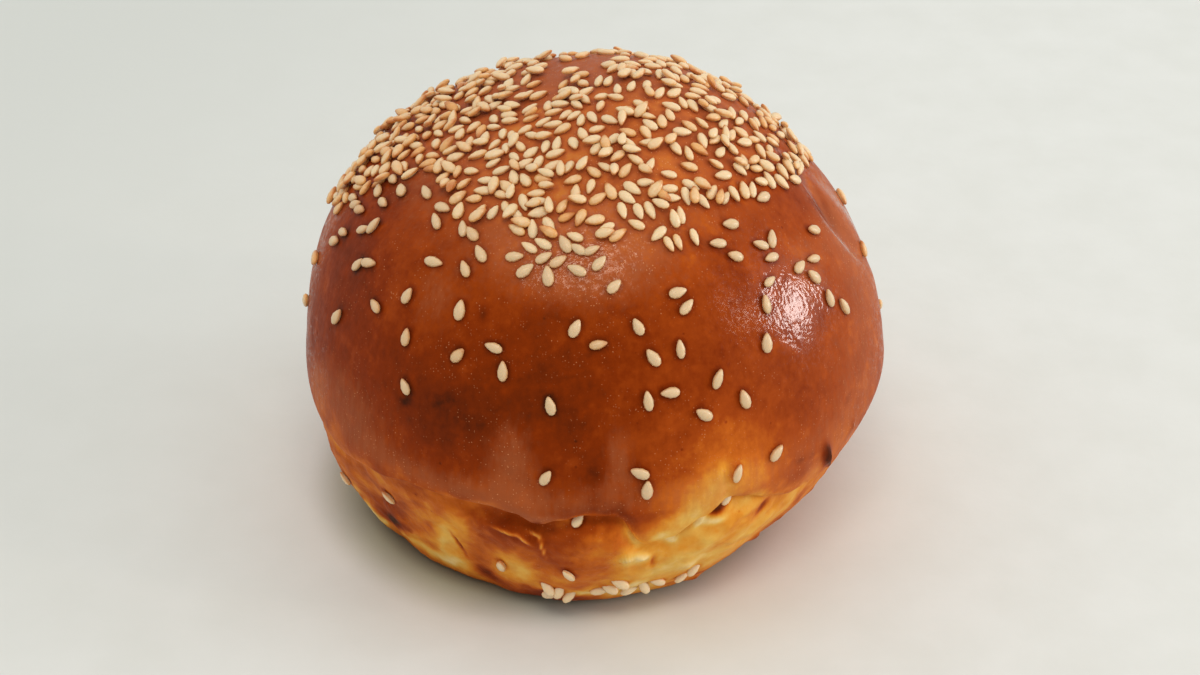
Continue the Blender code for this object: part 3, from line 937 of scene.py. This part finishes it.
        Spot(-8, 2.4, 12, 2.4, 0.22), Spot(-6, 15.5, 4, 7, 0.08), Spot(-1, 18, 7.5, 8, 0.08),
        Spot(-1, 3, 5, 1.4, 0.14), Spot(2, 7, 8.5, 1.3, -0.34), Spot(10, 6, 9, 2.6, -0.1),
        Spot(10, 7.6, 3.4, 1.4, -0.12), Spot(13, 10, 6.5, 6, -0.09), Spot(14, 4.6, 7, 2.2, -0.16),
        Spot(24, 14, 14, 9, -0.3), Spot(26, 16, 6, 4, 0.05), Spot(31.5, 4.6, 2.4, 0.8, 0.26),
        Spot(45, 18, 8, 5, -0.1), Spot(50, 18.5, 3, 4.5, -0.07, haze=0.2), Spot(51, 16, 2.2, 2.2, 0.24),
        Spot(52, 6, 2, 1, 0.2, slope=30))
    glosses: tuple[Spot, ...] = (
        Spot(50.2, 53.2, 6.4, 7.6, slope=-12, gloss=0.78, crinkle=0.08),
        Spot(50, 53.4, 2.2, 3.2, crinkle=-0.045), Spot(35.5, 55.5, 6.5, 6, gloss=0.28, crinkle=0.11),
        Spot(61, 52, 3.5, 5, gloss=0.36, crinkle=0.05), Spot(-84, 54, 5, 10, gloss=0.1),
        Spot(83.5, 59, 5.5, 0.9, slope=33, gloss=0.45), Spot(80, 52, 4.5, 0.9, slope=-67, gloss=0.45),
        Spot(92, 56, 12, 2, slope=-70, gloss=0.3), Spot(0, 65.5, 23, 6.2, gloss=0.43, crinkle=0.11),
        Spot(12, 16, 16, 7, gloss=0.2), Spot(-71, 51, 5, 8, gloss=-0.14),
        Spot(51, 26.3, 3, 2.2, slope=-70, gloss=-0.3))
    lump_turns: float = 22.0
    lump_climb: float = 330.0
    lump_height: float = 0.30 * MM
    small_lump_height: float = 0.16 * MM
    bubble_turns: float = 9.0
    bubble_height: float = 0.10 * MM
    bubble_start: float = -0.1
    bubble_fade: float = 0.4
    gloss: float = 0.03
    least_gloss: float = -0.3
    gloss_reach: float = 0.95
    crinkle: float = 0.02
    palest: float = 0.02
    crown_bake: float = 0.75
    foot_bake: float = 0.49
    foot_mottle: float = 0.10
    base_bake: float = 0.52
    base_fade: float = 0.08
    wander: float = 1.5 * MM
    wander_turns: float = 9.0
    lip_tone: float = 0.38
    blend: Azimuths = field(default_factory=lambda: {
        -180: 3.2, -130: 2.2, -75: 3, -55: 3.6, -36: 2.6, -22: 1.1, -8: 0.9, 4: 1, 12: 2.2, 20: 3.4,
        35: 4.2, 55: 3.2, 90: 2.8, 135: 2})
    # The crust darkens near each seed: partly pooled egg wash, partly painted contact shade.
    halo_bake: float = 0.13
    halo_reach: float = 1.5 * MM
    halo_fade: float = 0.8 * MM

    def places(self, sphere: np.ndarray) -> tuple[np.ndarray, np.ndarray, np.ndarray]:
        """Where each vertex of a plain ball goes on the crust.

        Args:
            sphere: The ball's vertices, one row each.

        Returns:
            Azimuth and angle from the widest ring, in radians, and the reach from the middle.
        """
        rows = self.crown_rows + self.foot_rows + self.base_rows
        azimuth = np.arctan2(sphere[:, 0], -sphere[:, 1])
        azimuth = azimuth - self.front_crowding * np.sin(azimuth)
        row = rows * np.arctan2(np.hypot(sphere[:, 0], sphere[:, 1]), sphere[:, 2]) / math.pi
        lip = self.form.turn_at(self.form.lip_z(azimuth))
        rim = self.form.turn_at(-self.form.edge_round)
        down_crown = 1.0 - (1.0 - np.clip(row / self.crown_rows, 0.0, 1.0)) ** self.crown_crowding
        down_foot = np.clip((row - self.crown_rows) / self.foot_rows, 0.0, 1.0) ** self.foot_crowding
        turn = math.pi / 2.0 + (lip - math.pi / 2.0) * down_crown + (rim - lip) * down_foot
        past = (row - self.crown_rows - self.foot_rows) / self.base_rows
        return azimuth, turn, 1.0 - np.clip(past, 0.0, 1.0)

    def total(self, effect: Effect, spots: Sequence[Spot], azimuth: np.ndarray,
              height: np.ndarray) -> np.ndarray:
        """One effect of some spots, added up.

        Args:
            effect: The effect.
            spots: The spots.
            azimuth: Azimuths of the places, in radians.
            height: Their heights, in metres.

        Returns:
            The sum at each place.
        """
        level = np.zeros(len(azimuth))
        for spot in spots:
            strength = getattr(spot, effect.value)
            if strength:
                level += strength * spot.cover(azimuth, height, self.form.radius)
        return level

    def fine_relief(self, azimuth: np.ndarray, turn: np.ndarray) -> np.ndarray:
        """Small folds, creases and lumps that lie on the main form.

        Args:
            azimuth: Azimuths, in radians.
            turn: Angles from the widest ring, in radians.

        Returns:
            Distances outwards, in metres.
        """
        height = self.form.profile(turn)[1]
        relief = self.total(Effect.RISE, self.folds, azimuth, height) * MM
        skin = self.form.skin(azimuth, height, self.lump_turns, self.lump_climb)
        lumps = self.lump_height * noise_at(skin) + self.small_lump_height * noise_at(skin * 2.3 + 5.0)
        relief += lumps * np.sin(math.pi * self.form.foot_share(azimuth, height)) ** 0.5
        bubbles = noise_at(self.form.directions(azimuth, turn) * self.bubble_turns)
        return relief + self.bubble_height * bubbles * smooth((turn - self.bubble_start) / self.bubble_fade)

    def crown_share(self, azimuth: np.ndarray, height: np.ndarray) -> np.ndarray:
        """How far a place has the crown's colour, from 0 on the foot to 1 well above the lip."""
        over = height - self.form.lip_z(azimuth)
        return smooth(self.lip_tone + over / (2.0 * MM * around(azimuth, self.blend)))

    def halo(self, points: np.ndarray, seeds: Sequence[np.ndarray]) -> np.ndarray:
        """How near each point is to a seed, 1 beside one, 0 away: pooled egg wash and painted contact
        shade.

        Args:
            points: The points, one row each.
            seeds: Places down the middle of the seeds.

        Returns:
            The nearness of each.
        """
        tree = KDTree(len(seeds))
        for number, place in enumerate(seeds):
            tree.insert(place, number)
        tree.balance()
        away = np.array([tree.find(point)[2] for point in points])
        return smooth((self.halo_reach - away) / self.halo_fade)

    def bake_level(self, azimuth: np.ndarray, turn: np.ndarray, reach: np.ndarray,
                   halo: np.ndarray) -> np.ndarray:
        """How dark each place is baked, from 0 for raw cream to 1 for burnt.

        Args:
            azimuth: Azimuths of the places, in radians.
            turn: Their angles from the widest ring, in radians.
            reach: How far out from the middle each is, below 1 on the underside.
            halo: How near each is to a seed.

        Returns:
            The level at each place.
        """
        height = self.form.profile(turn)[1]
        folds = self.total(Effect.BAKE, self.folds, azimuth, height)
        where = self.form.directions(azimuth, turn) * self.wander_turns
        height = height + self.wander * (noise_at(where + 2.0) + 0.5 * noise_at(where * 2.7 + 4.0))
        azimuth = azimuth + self.wander / self.form.radius * noise_at(where + 9.0)
        mottle = noise_at(where * 1.3 + 7.0) + 0.5 * noise_at(where * 3.1)
        level = self.foot_bake + self.foot_mottle * mottle
        level += (self.crown_bake - level) * self.crown_share(azimuth, height)
        level += self.total(Effect.BAKE, self.tones, azimuth, height)
        level += folds + (self.base_bake - level) * smooth((1.0 - reach) / self.base_fade)
        # Darker beside the seeds: pooled egg wash and painted contact shade.
        return np.clip(level + self.halo_bake * halo, self.palest, 1.0)

    def gloss_level(self, azimuth: np.ndarray, turn: np.ndarray, reach: np.ndarray) -> np.ndarray:
        """How glossy the egg wash left each place."""
        more = self.total(Effect.GLOSS, self.glosses + self.folds, azimuth, self.form.profile(turn)[1])
        return np.clip(self.gloss + more, self.least_gloss, 1.0) * smooth(reach / self.gloss_reach)

    def haze_and_sheen_level(self, azimuth: np.ndarray, turn: np.ndarray) -> np.ndarray:
        """How much pale film the crust's skin has at each place: dusty egg wash and painted sheen."""
        level = self.total(Effect.HAZE, self.tones + self.folds, azimuth, self.form.profile(turn)[1])
        return np.clip(level, 0.0, 1.0)

    def crinkle_level(self, azimuth: np.ndarray, turn: np.ndarray) -> np.ndarray:
        """How high the finest crinkles stand at each place, in millimetres."""
        height = self.form.profile(turn)[1]
        return self.crinkle + self.total(Effect.CRINKLE, self.glosses, azimuth, height)

    def build(self, seeds: Sequence[np.ndarray]) -> bpy.types.Object:
        """Makes the crust, with its bake, gloss, crinkle, film and painted sheen, and foot stored at its
        vertices.

        Args:
            seeds: Places down the middle of the seeds, round which the crust is darker.

        Returns:
            The crust.
        """
        deselect_all()
        bpy.ops.mesh.primitive_uv_sphere_add(segments=self.segments, ring_count=self.rings, radius=1.0)
        crust = bpy.context.object
        crust.name = "crust"
        finer = crust.modifiers.new("finer", "SUBSURF")
        finer.subdivision_type = "SIMPLE"
        finer.levels = self.divisions
        bpy.ops.object.modifier_apply(modifier=finer.name)
        mesh = crust.data
        sphere = np.empty(len(mesh.vertices) * 3)
        mesh.vertices.foreach_get("co", sphere)
        azimuth, turn, reach = self.places(sphere.reshape(-1, 3))
        skin = self.form.points(azimuth, turn, reach, self.fine_relief(azimuth, turn))
        mesh.vertices.foreach_set("co", skin.ravel())
        store(mesh, "bake", self.bake_level(azimuth, turn, reach, self.halo(skin, seeds)))
        store(mesh, "gloss", self.gloss_level(azimuth, turn, reach))
        store(mesh, "haze", self.haze_and_sheen_level(azimuth, turn))
        store(mesh, "crinkle", self.crinkle_level(azimuth, turn))
        store(mesh, "foot", 1.0 - self.crown_share(azimuth, self.form.profile(turn)[1]))
        mesh.update()
        mesh.shade_smooth()
        return crust


class Layer(Enum):
    """How a seed lies: on the crust itself, or on top of other seeds."""

    CRUST = 0
    PILE = 1


@dataclass
class Seed:
    """One sesame seed: its place, with all angles in radians, how toasted it is, and its painted shade."""

    azimuth: float
    turn: float
    spin: float
    layer: Layer = Layer.CRUST
    toast: float = 1.0
    seed_shade: float = 0.0


@dataclass(frozen=True)
class Clump:
    """A round patch of the cap with more or fewer seeds: degrees, millimetres, and the change."""

    azimuth: float
    height: float
    radius: float
    change: float


@dataclass
class SesameSeeds:
    """All the seeds: a dense, clumpy cap, single ones on the flank, and some at the foot.

    Those of the flank and foot are set one by one: azimuth in degrees, height in millimetres, and
    how far each is turned from level in degrees.
    """

    form: BunForm
    length: float = 3.0 * MM
    width: float = 1.68 * MM
    thickness: float = 1.15 * MM
    sunk: float = 0.22 * MM
    segments: int = 8
    rings: int = 6
    taper: float = 0.42
    taper_start: float = -0.3
    bluntness: float = 0.88
    size: float = 1.02
    size_spread: float = 0.11
    slim_spread: float = 0.12
    roll: float = 0.22
    rock: float = 0.08
    pile_rock: float = 0.45
    rim_height: float = 11.0 * MM
    rim_tilt: float = 0.8
    flank_toast: float = 0.55
    # How far the flank seeds are mixed towards a greyer tan: painted shade.
    flank_seed_shade: float = 0.42
    foot_toast: float = 0.35
    browning: tuple[float, float] = (1.9, 4.0)
    scorched_share: float = 0.02
    scorch: float = 0.7
    left_toast: float = 0.20
    left_start: float = 8.0 * MM
    left_reach: float = 20.0 * MM
    random_seed: int = 27
    back_seeds: int = 14
    back_spacing: float = 9.0 * MM
    back_heights: tuple[float, float] = (32.0 * MM, 52.0 * MM)
    back_azimuths: tuple[float, float] = (75.0, 290.0)
    flank: tuple[Place, ...] = (
        # Single ones on the flank, from the left to the right
        (-61, 55.3, 70), (-57.5, 56.6, 25), (-61, 47.1, 70), (-49.7, 52.7, 165), (-42, 56.1, 75),
        (-39.2, 51.1, 95), (-38.8, 61, 10), (-37.3, 44.2, 125), (-30, 61.5, 130), (-28.2, 56.8, 95),
        (-26.6, 51.2, 55), (-19.2, 53.2, 170), (-16.8, 50.3, 95), (-7.1, 46.2, 105), (-1.8, 56.5, 65),
        (3, 54.5, 10), (8, 61.1, 40), (12, 56.3, 110), (14, 52.3, 120), (11.8, 46.6, 95),
        (16.3, 47.3, 175), (20, 52.8, 90), (22.8, 59.4, 5), (23.8, 57.6, 35), (22.3, 43.2, 140),
        (26.5, 47.7, 60), (31.3, 43.6, 100), (39.7, 49.9, 75), (43.2, 54.5, 80), (47, 56.7, 8),
        (51.3, 58.9, 170), (50.6, 60.7, 140), (55, 60.5, 50), (57.6, 55.9, 10), (63, 55.4, 155),
        (60, 53.7, 120), (61.2, 49.9, 80), (64.7, 47.2, 105), (70, 57.6, 145), (38.5, 62.8, 160),
        (41.5, 61, 145), (45.5, 63.8, 155), (36.6, 33, 40), (27.5, 32.4, 60), (9, 35.6, 150),
        (10.2, 32.6, 85), (-8.1, 35, 60),
        # The cap's lower edge, from the left to the right
        (-81, 59, 30), (-77.3, 59.2, 50), (-73.5, 59.6, 25), (-74, 55.8, 20), (-76, 53.6, 30),
        (-66.5, 58.8, 45), (-63.5, 60.2, 80), (-74, 65, 10), (-66.5, 65.3, 165), (-74, 62.9, 160),
        (-67.5, 62.8, 8), (-57.5, 67, 165), (-45.5, 65.2, 145), (-47, 66.7, 5), (-36, 65.6, 125),
        (-32.5, 65.4, 150), (-27.5, 63.6, 135), (-18, 64, 15), (-14.5, 62.7, 45), (-10, 64.2, 35),
        (-8.5, 62.3, 100), (-6, 63.9, 35), (-1, 63, 155), (-4.3, 65.6, 120), (-0.6, 65.1, 145),
        (3.3, 64.9, 20), (5, 63.6, 45), (62, 63.9, 165), (49.5, 65.9, 20))
    foot: tuple[Place, ...] = (
        (-46.5, 18, 120), (-65.5, 12.5, 120), (-17.7, 11.6, 80), (-2.8, 14.4, 118), (-2.3, 26.3, 60),
        (26.4, 27.2, 70), (-6.5, 7.9, 145), (-3.9, 7.6, 65), (-1.4, 6.4, 50), (5, 7.5, 5), (7, 8.2, 150),
        (8.6, 10.1, 152), (11.8, 6.6, 10), (15, 7.2, 115), (18, 7.8, 160), (-5.6, 5.4, 20),
        (24.4, 7, 20), (25.9, 9.3, 40))
    cap_edge: Azimuths = field(default_factory=lambda: {
        -180: 57, -125: 53, -97: 52, -86: 54.5, -79: 60, -73: 66.5, -66: 69, -55: 68.8, -48: 66.4,
        -30: 66, -20: 65.4, -9: 65.2, 2: 66.2, 9: 66, 17: 66.3, 26: 64.3, 34: 64.3, 40: 66.2, 50: 66.3,
        60: 65, 75: 62.8, 90: 61.5, 100: 58.5, 115: 56.5, 145: 58})
    cap_fade: float = 1.6 * MM
    cap_density: float = 0.74
    cap_patches: float = 0.25
    patch_turns: float = 6.0
    least_density: float = 0.03
    lowest_sine: float = 0.3
    clumps: tuple[Clump, ...] = (
        Clump(-98, 69, 9, 0.6), Clump(-84, 67, 7, 0.4), Clump(-52, 72, 8, 0.5), Clump(-36, 69, 8, 0.5),
        Clump(-28, 73, 6, 0.4), Clump(94, 74, 7, 0.4), Clump(82, 71, 8, 0.4), Clump(33, 70, 6, 0.4),
        Clump(-18, 68, 6, 0.4), Clump(165, 70, 14, -0.25), Clump(-12, 72, 5, -0.3),
        Clump(174, 74, 5, -0.3), Clump(10, 71.5, 4.5, -0.35), Clump(50, 68, 6, -0.2),
        Clump(5, 69, 20, 0.42), Clump(180, 72.5, 16, -0.5), Clump(-84, 62.5, 8, 0.7))
    tries: int = 6400
    spins_tried: int = 9
    marks: int = 4
    close_by: float = 1.1
    touching: float = 0.84
    buried: float = 0.35
    pile_chance: float = 0.17
    pile_lift: float = 0.7 * MM
    seeds: list[Seed] = field(default_factory=list)

    def lay_out(self) -> None:
        """Finds every seed's place: single ones first, then those of the cap."""
        draw = np.random.RandomState(self.random_seed)
        self.seeds = []
        for group, toast, seed_shade in ((self.flank, self.flank_toast, self.flank_seed_shade),
                                   (self.foot, self.foot_toast, 0.0)):
            for azimuth, height, spin in group:
                turn = float(self.form.turn_at(height * MM))
                self.seeds.append(Seed(
                    math.radians(azimuth), turn, math.radians(spin), toast=toast, seed_shade=seed_shade))
        self.scatter_back(draw)
        self.fill_cap(draw)

    def scatter_back(self, draw: np.random.RandomState) -> None:
        """Scatters single seeds on the flank that faces away.

        Args:
            draw: What the random numbers are drawn from.
        """
        first, last = self.back_azimuths
        low, high = self.back_heights
        taken: list[np.ndarray] = []
        while len(taken) < self.back_seeds:
            azimuth = math.radians(draw.uniform(first, last))
            turn = float(self.form.turn_at(draw.uniform(low, high)))
            point = self.form.points(azimuth, turn)[0]
            if all(np.linalg.norm(point - other) > self.back_spacing for other in taken):
                taken.append(point)
                self.seeds.append(Seed(azimuth, turn, draw.uniform(0.0, 2.0 * math.pi)))

    def density(self, azimuth: np.ndarray, turn: np.ndarray) -> np.ndarray:
        """How likely a seed is to stay at each place, from 0 to 1.

        Args:
            azimuth: Azimuths, in radians.
            turn: Angles from the widest ring, in radians.

        Returns:
            The chance at each place.
        """
        height = self.form.profile(turn)[1]
        edge = around(azimuth, self.cap_edge) * MM
        here = self.form.directions(azimuth, turn)
        level = self.cap_density + self.cap_patches * noise_at(here * self.patch_turns + 3.0)
        for clump in self.clumps:
            middle = self.form.directions(
                np.radians(clump.azimuth), self.form.turn_at(clump.height * MM))
            away = np.linalg.norm(here - middle, axis=1) * self.form.radius / (clump.radius * MM)
            level = level + clump.change * np.exp(-away * away)
        return np.clip(level, self.least_density, 1.0) * smooth((height - edge) / self.cap_fade + 0.5)

    def cores(self, points: np.ndarray, normals: np.ndarray, levels: np.ndarray,
              spins: np.ndarray) -> np.ndarray:
        """A few places down the middle of each seed, short of its round ends.

        Args:
            points: Where the seeds lie, one row each.
            normals: The crust's normals there.
            levels: The level directions there.
            spins: How far the seeds are turned from level, in radians.

        Returns:
            Some rows for each seed, one for each mark.
        """
        sides = np.cross(normals, levels)
        along = levels * np.cos(spins)[:, None] + sides * np.sin(spins)[:, None]
        half = (self.length - self.width) / 2.0
        steps = np.linspace(-half, half, self.marks)
        return points[:, None, :] + along[:, None, :] * steps[None, :, None]

    def placed_cores(self) -> np.ndarray:
        """The places down the middle of every seed so far."""
        azimuth, turn, spin = np.array([(seed.azimuth, seed.turn, seed.spin) for seed in self.seeds]).T
        return self.cores(*self.form.frames(azimuth, turn), spin)

    def middles(self) -> np.ndarray:
        """The places down the middle of all the seeds, one row each."""
        return self.placed_cores().reshape(-1, 3)

    def fill_cap(self, draw: np.random.RandomState) -> None:
        """Drops seeds on the cap, which lie beside the others, and now and then on top of them.

        Args:
            draw: What the random numbers are drawn from.
        """
        azimuth = draw.uniform(-math.pi, math.pi, self.tries)
        turn = np.arcsin(draw.uniform(self.lowest_sine, 1.0, self.tries))
        wanted = draw.uniform(size=self.tries) < self.density(azimuth, turn)
        azimuth, turn = azimuth[wanted], turn[wanted]
        points, normals, levels = self.form.frames(azimuth, turn)
        placed = self.placed_cores()
        lines = list(placed)
        middles = list(placed.mean(axis=1))
        for index in range(len(azimuth)):
            spins = draw.uniform(0.0, 2.0 * math.pi, self.spins_tried)
            away = np.linalg.norm(np.array(middles) - points[index], axis=1)
            near = [line for line, gap in zip(lines, away) if gap < self.length * self.close_by]
            tried = self.cores(*(np.repeat(rows[index:index + 1], len(spins), axis=0)
                                 for rows in (points, normals, levels)), spins)
            room = np.full(len(spins), 1.0)
            if near:
                others = np.concatenate(near)
                gaps = np.linalg.norm(tried[:, :, None, :] - others[None, None, :, :], axis=3)
                room = gaps.min(axis=(1, 2)) / self.width
            best = int(room.argmax())
            seed = Seed(float(azimuth[index]), float(turn[index]), float(spins[best]))
            if room[best] < self.touching:
                if room[best] < self.buried or draw.uniform() > self.pile_chance:
                    continue
                seed.layer = Layer.PILE
            self.seeds.append(seed)
            lines.append(tried[best])
            middles.append(points[index])

    def shape(self) -> tuple[np.ndarray, list[tuple[int, ...]]]:
        """One seed, lying along X with its tip at +X: a ball drawn out, narrowed and flattened.

        Returns:
            Its vertices, one row each, and its faces.
        """
        deselect_all()
        bpy.ops.mesh.primitive_uv_sphere_add(
            segments=self.segments, ring_count=self.rings, radius=1.0,
            rotation=(0.0, math.pi / 2.0, 0.0))
        ball = bpy.context.object
        bpy.ops.object.transform_apply(location=False, rotation=True, scale=True)
        corners = np.array([vertex.co for vertex in ball.data.vertices])
        faces = [tuple(face.vertices) for face in ball.data.polygons]
        bpy.data.objects.remove(ball)
        reach = corners[:, 0].copy()
        narrowing = 1.0 - self.taper * smooth((reach - self.taper_start) / (1.0 - self.taper_start))
        corners[:, 0] = np.sign(reach) * np.abs(reach) ** self.bluntness * self.length / 2.0
        corners[:, 1] *= self.width / 2.0 * narrowing
        corners[:, 2] *= self.thickness / 2.0 * (0.5 + 0.5 * narrowing)
        return corners, faces

    def laid(self, seed: Seed, corners: np.ndarray, place: Sequence[Vector],
             draw: np.random.RandomState) -> np.ndarray:
        """One seed's vertices where it lies, a little rocked and rolled, and of its own size.

        Args:
            seed: The seed.
            corners: Vertices of the plain seed, one row each.
            place: Its point on the crust, the normal there and the level direction.
            draw: What its own size and tilt are drawn from.

        Returns:
            Its vertices, one row each.
        """
        point, normal, level = place
        if point.z < self.rim_height:
            normal = (normal + Vector((0.0, 0.0, self.rim_tilt))).normalized()
        lift = self.thickness / 2.0 - self.sunk
        rock = draw.uniform(-self.rock, self.rock)
        if seed.layer is Layer.PILE:
            lift += self.pile_lift
            rock = draw.uniform(-self.pile_rock, self.pile_rock)
        roll = draw.uniform(-self.roll, self.roll)
        along = Matrix.Rotation(seed.spin, 3, normal) @ level
        facing = Matrix((along, normal.cross(along), normal)).transposed()
        turned = facing @ Matrix.Rotation(rock, 3, "Y") @ Matrix.Rotation(roll, 3, "X")
        size = self.size + self.size_spread * draw.uniform(-1.0, 1.0)
        slim = 1.0 + self.slim_spread * draw.uniform(-1.0, 1.0)
        grown = corners * np.array((size, size * slim, size))
        return grown @ np.array(turned).T + np.array(point + normal * lift)

    def browned(self, seed: Seed, across: float, draw: np.random.RandomState) -> float:
        """How toasted one seed is: more on the left, and much more on a few.

        Args:
            seed: The seed.
            across: Its place along X, in metres.
            draw: What the random numbers are drawn from.

        Returns:
            The level, mostly from 0 to 1.
        """
        level = draw.beta(*self.browning)
        if draw.uniform() < self.scorched_share:
            level += self.scorch
        left = float(smooth((-across - self.left_start) / self.left_reach))
        return level * seed.toast + self.left_toast * left

    def build(self) -> bpy.types.Object:
        """Makes every seed as one mesh, with toast, painted shade, tip and rim stored at its vertices.

        Returns:
            The seeds.
        """
        draw = np.random.RandomState(self.random_seed + 1)
        corners, faces = self.shape()
        all_corners, all_faces, toast = [], [], []
        places = self.form.frames(
            np.array([seed.azimuth for seed in self.seeds]), np.array([seed.turn for seed in self.seeds]))
        for number, seed in enumerate(self.seeds):
            place = [Vector(rows[number]) for rows in places]
            all_corners.append(self.laid(seed, corners, place, draw))
            all_faces += [tuple(index + number * len(corners) for index in face) for face in faces]
            toast.append(self.browned(seed, place[0].x, draw))
        mesh = bpy.data.meshes.new("sesame_seeds")
        mesh.from_pydata(np.concatenate(all_corners).tolist(), [], all_faces)
        store(mesh, "toast", np.repeat(toast, len(corners)))
        store(mesh, "seed_shade", np.repeat([seed.seed_shade for seed in self.seeds], len(corners)))
        store(mesh, "tip", np.tile(corners[:, 0] / self.length + 0.5, len(self.seeds)))
        rise = np.abs(corners[:, 2])
        store(mesh, "rim", np.tile(1.0 - rise / rise.max(), len(self.seeds)))
        mesh.shade_smooth()
        seeds = bpy.data.objects.new("sesame_seeds", mesh)
        bpy.context.scene.collection.objects.link(seeds)
        return seeds


@dataclass(frozen=True)
class SoftLight:
    """A soft rectangular light: metres, watts, and how far it is rolled about its axis in degrees."""

    name: str
    place: Place
    width: float
    height: float
    power: float
    colour: Colour
    roll: float = 0.0

    def hang(self, target: Place) -> None:
        """Hangs the light, pointed at a target.

        Args:
            target: Where it points, in metres.
        """
        data = bpy.data.lights.new(self.name, "AREA")
        data.shape = "RECTANGLE"
        data.size = self.width
        data.size_y = self.height
        data.energy = self.power
        data.color = self.colour[:3]
        light = bpy.data.objects.new(self.name, data)
        light.location = self.place
        facing = (Vector(target) - Vector(self.place)).to_track_quat("-Z", "Y").to_matrix()
        light.rotation_euler = (facing @ Matrix.Rotation(math.radians(self.roll), 3, "Z")).to_euler()
        bpy.context.scene.collection.objects.link(light)


@dataclass
class Studio:
    """Floor, lights and camera, at the angle that the bun is seen from."""

    elevation: float = 34.0
    distance: float = 430.0 * MM
    aim: Place = (1.3 * MM, 0.0, 28.5 * MM)
    lens: float = 76.6
    sensor: float = 36.0
    floor_size: float = 3.0
    lit: Place = (0.0, 0.0, 30.0 * MM)
    lights: tuple[SoftLight, ...] = (
        # A window low on the right, a strip beside it, and a lamp over the front
        SoftLight("window", (2.46, 0.12, 0.50), 0.68, 0.50, 17.5, seen(242, 244, 248), roll=28.0),
        SoftLight("strip", (2.02, -0.62, 0.90), 0.16, 0.80, 4.4, seen(255, 236, 216)),
        SoftLight("lamp", (0.0, -0.98, 1.76), 0.90, 0.42, 10.0, seen(255, 240, 222)))
    walls: Colour = (0.75, 0.79, 0.79, 1.0)
    ceiling: Colour = (0.98, 0.98, 0.96, 1.0)
    ceiling_fade: Fade = (0.15, 0.85)
    dim: Colour = (0.61, 0.64, 0.64, 1.0)
    dim_side: tuple[float, float] = (-0.87, 0.50)
    dim_fade: Fade = (0.45, 0.92)

    def add_floor(self) -> None:
        """The pale board that the bun stands on."""
        deselect_all()
        bpy.ops.mesh.primitive_plane_add(size=self.floor_size, location=(0.0, 0.0, 0.0))
        floor = bpy.context.object
        floor.name = "floor"
        floor.data.materials.append(FloorFinish().make())

    def add_world(self) -> None:
        """A pale ceiling and walls, dim where they lie in one direction: its parts along Y and Z."""
        graph = Graph(bpy.data.worlds.new("pale_room"))
        where = graph.add("ShaderNodeTexCoord").outputs["Generated"]
        parts = graph.add("ShaderNodeSeparateXYZ", {}, {"Vector": where})
        up = Term(graph, parts.outputs["Z"])
        back = Term(graph, parts.outputs["Y"])
        room = graph.mix(up.step(*self.ceiling_fade), self.walls, self.ceiling)
        behind = (up * self.dim_side[1] + back * self.dim_side[0]).step(*self.dim_fade)
        graph.feed(graph.shader.inputs["Color"], graph.mix(behind, room, self.dim))
        bpy.context.scene.world = graph.owner

    def add_camera(self) -> None:
        """The camera, looking down on the bun from the front."""
        data = bpy.data.cameras.new("camera")
        data.lens = self.lens
        data.sensor_width = self.sensor
        camera = bpy.data.objects.new("camera", data)
        rise = math.radians(self.elevation)
        back = Vector((0.0, -math.cos(rise), math.sin(rise)))
        camera.location = Vector(self.aim) + back * self.distance
        camera.rotation_euler = (-back).to_track_quat("-Z", "Y").to_euler()
        bpy.context.scene.collection.objects.link(camera)
        bpy.context.scene.camera = camera

    def build(self) -> None:
        """Sets the whole studio up."""
        self.add_floor()
        for light in self.lights:
            light.hang(self.lit)
        self.add_world()
        self.add_camera()
        bpy.context.scene.view_settings.view_transform = "Standard"


def deselect_all() -> None:
    """Leaves nothing selected, so that an operator acts on the new piece alone."""
    bpy.ops.object.select_all(action="DESELECT")


def store(mesh: bpy.types.Mesh, name: str, values: np.ndarray) -> None:
    """Stores a number at each of a mesh's vertices."""
    layer = mesh.attributes.new(name, "FLOAT", "POINT")
    layer.data.foreach_set("value", np.asarray(values, dtype=np.float32))


def dress(piece: bpy.types.Object, finish: bpy.types.Material) -> None:
    """Gives a piece its finish, hangs it on the body it rides on, and hides the solid it replaces.

    Args:
        piece: The piece.
        finish: Its finish.
    """
    piece.data.materials.clear()
    piece.data.materials.append(finish)
    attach(piece, BODY)
    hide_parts(NODE)
    LOG.info("%s: %d faces", piece.name, len(piece.data.polygons))


def main() -> None:
    """Builds the bun's pieces and the studio round them."""
    logging.basicConfig(level=logging.INFO, format="%(name)s %(message)s")
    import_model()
    form = BunForm()
    sesame = SesameSeeds(form)
    sesame.lay_out()
    dress(Crust(form).build(sesame.middles()), CrustFinish().make())
    dress(sesame.build(), SeedFinish().make())
    Studio().build()


if __name__ == "__main__":
    main()
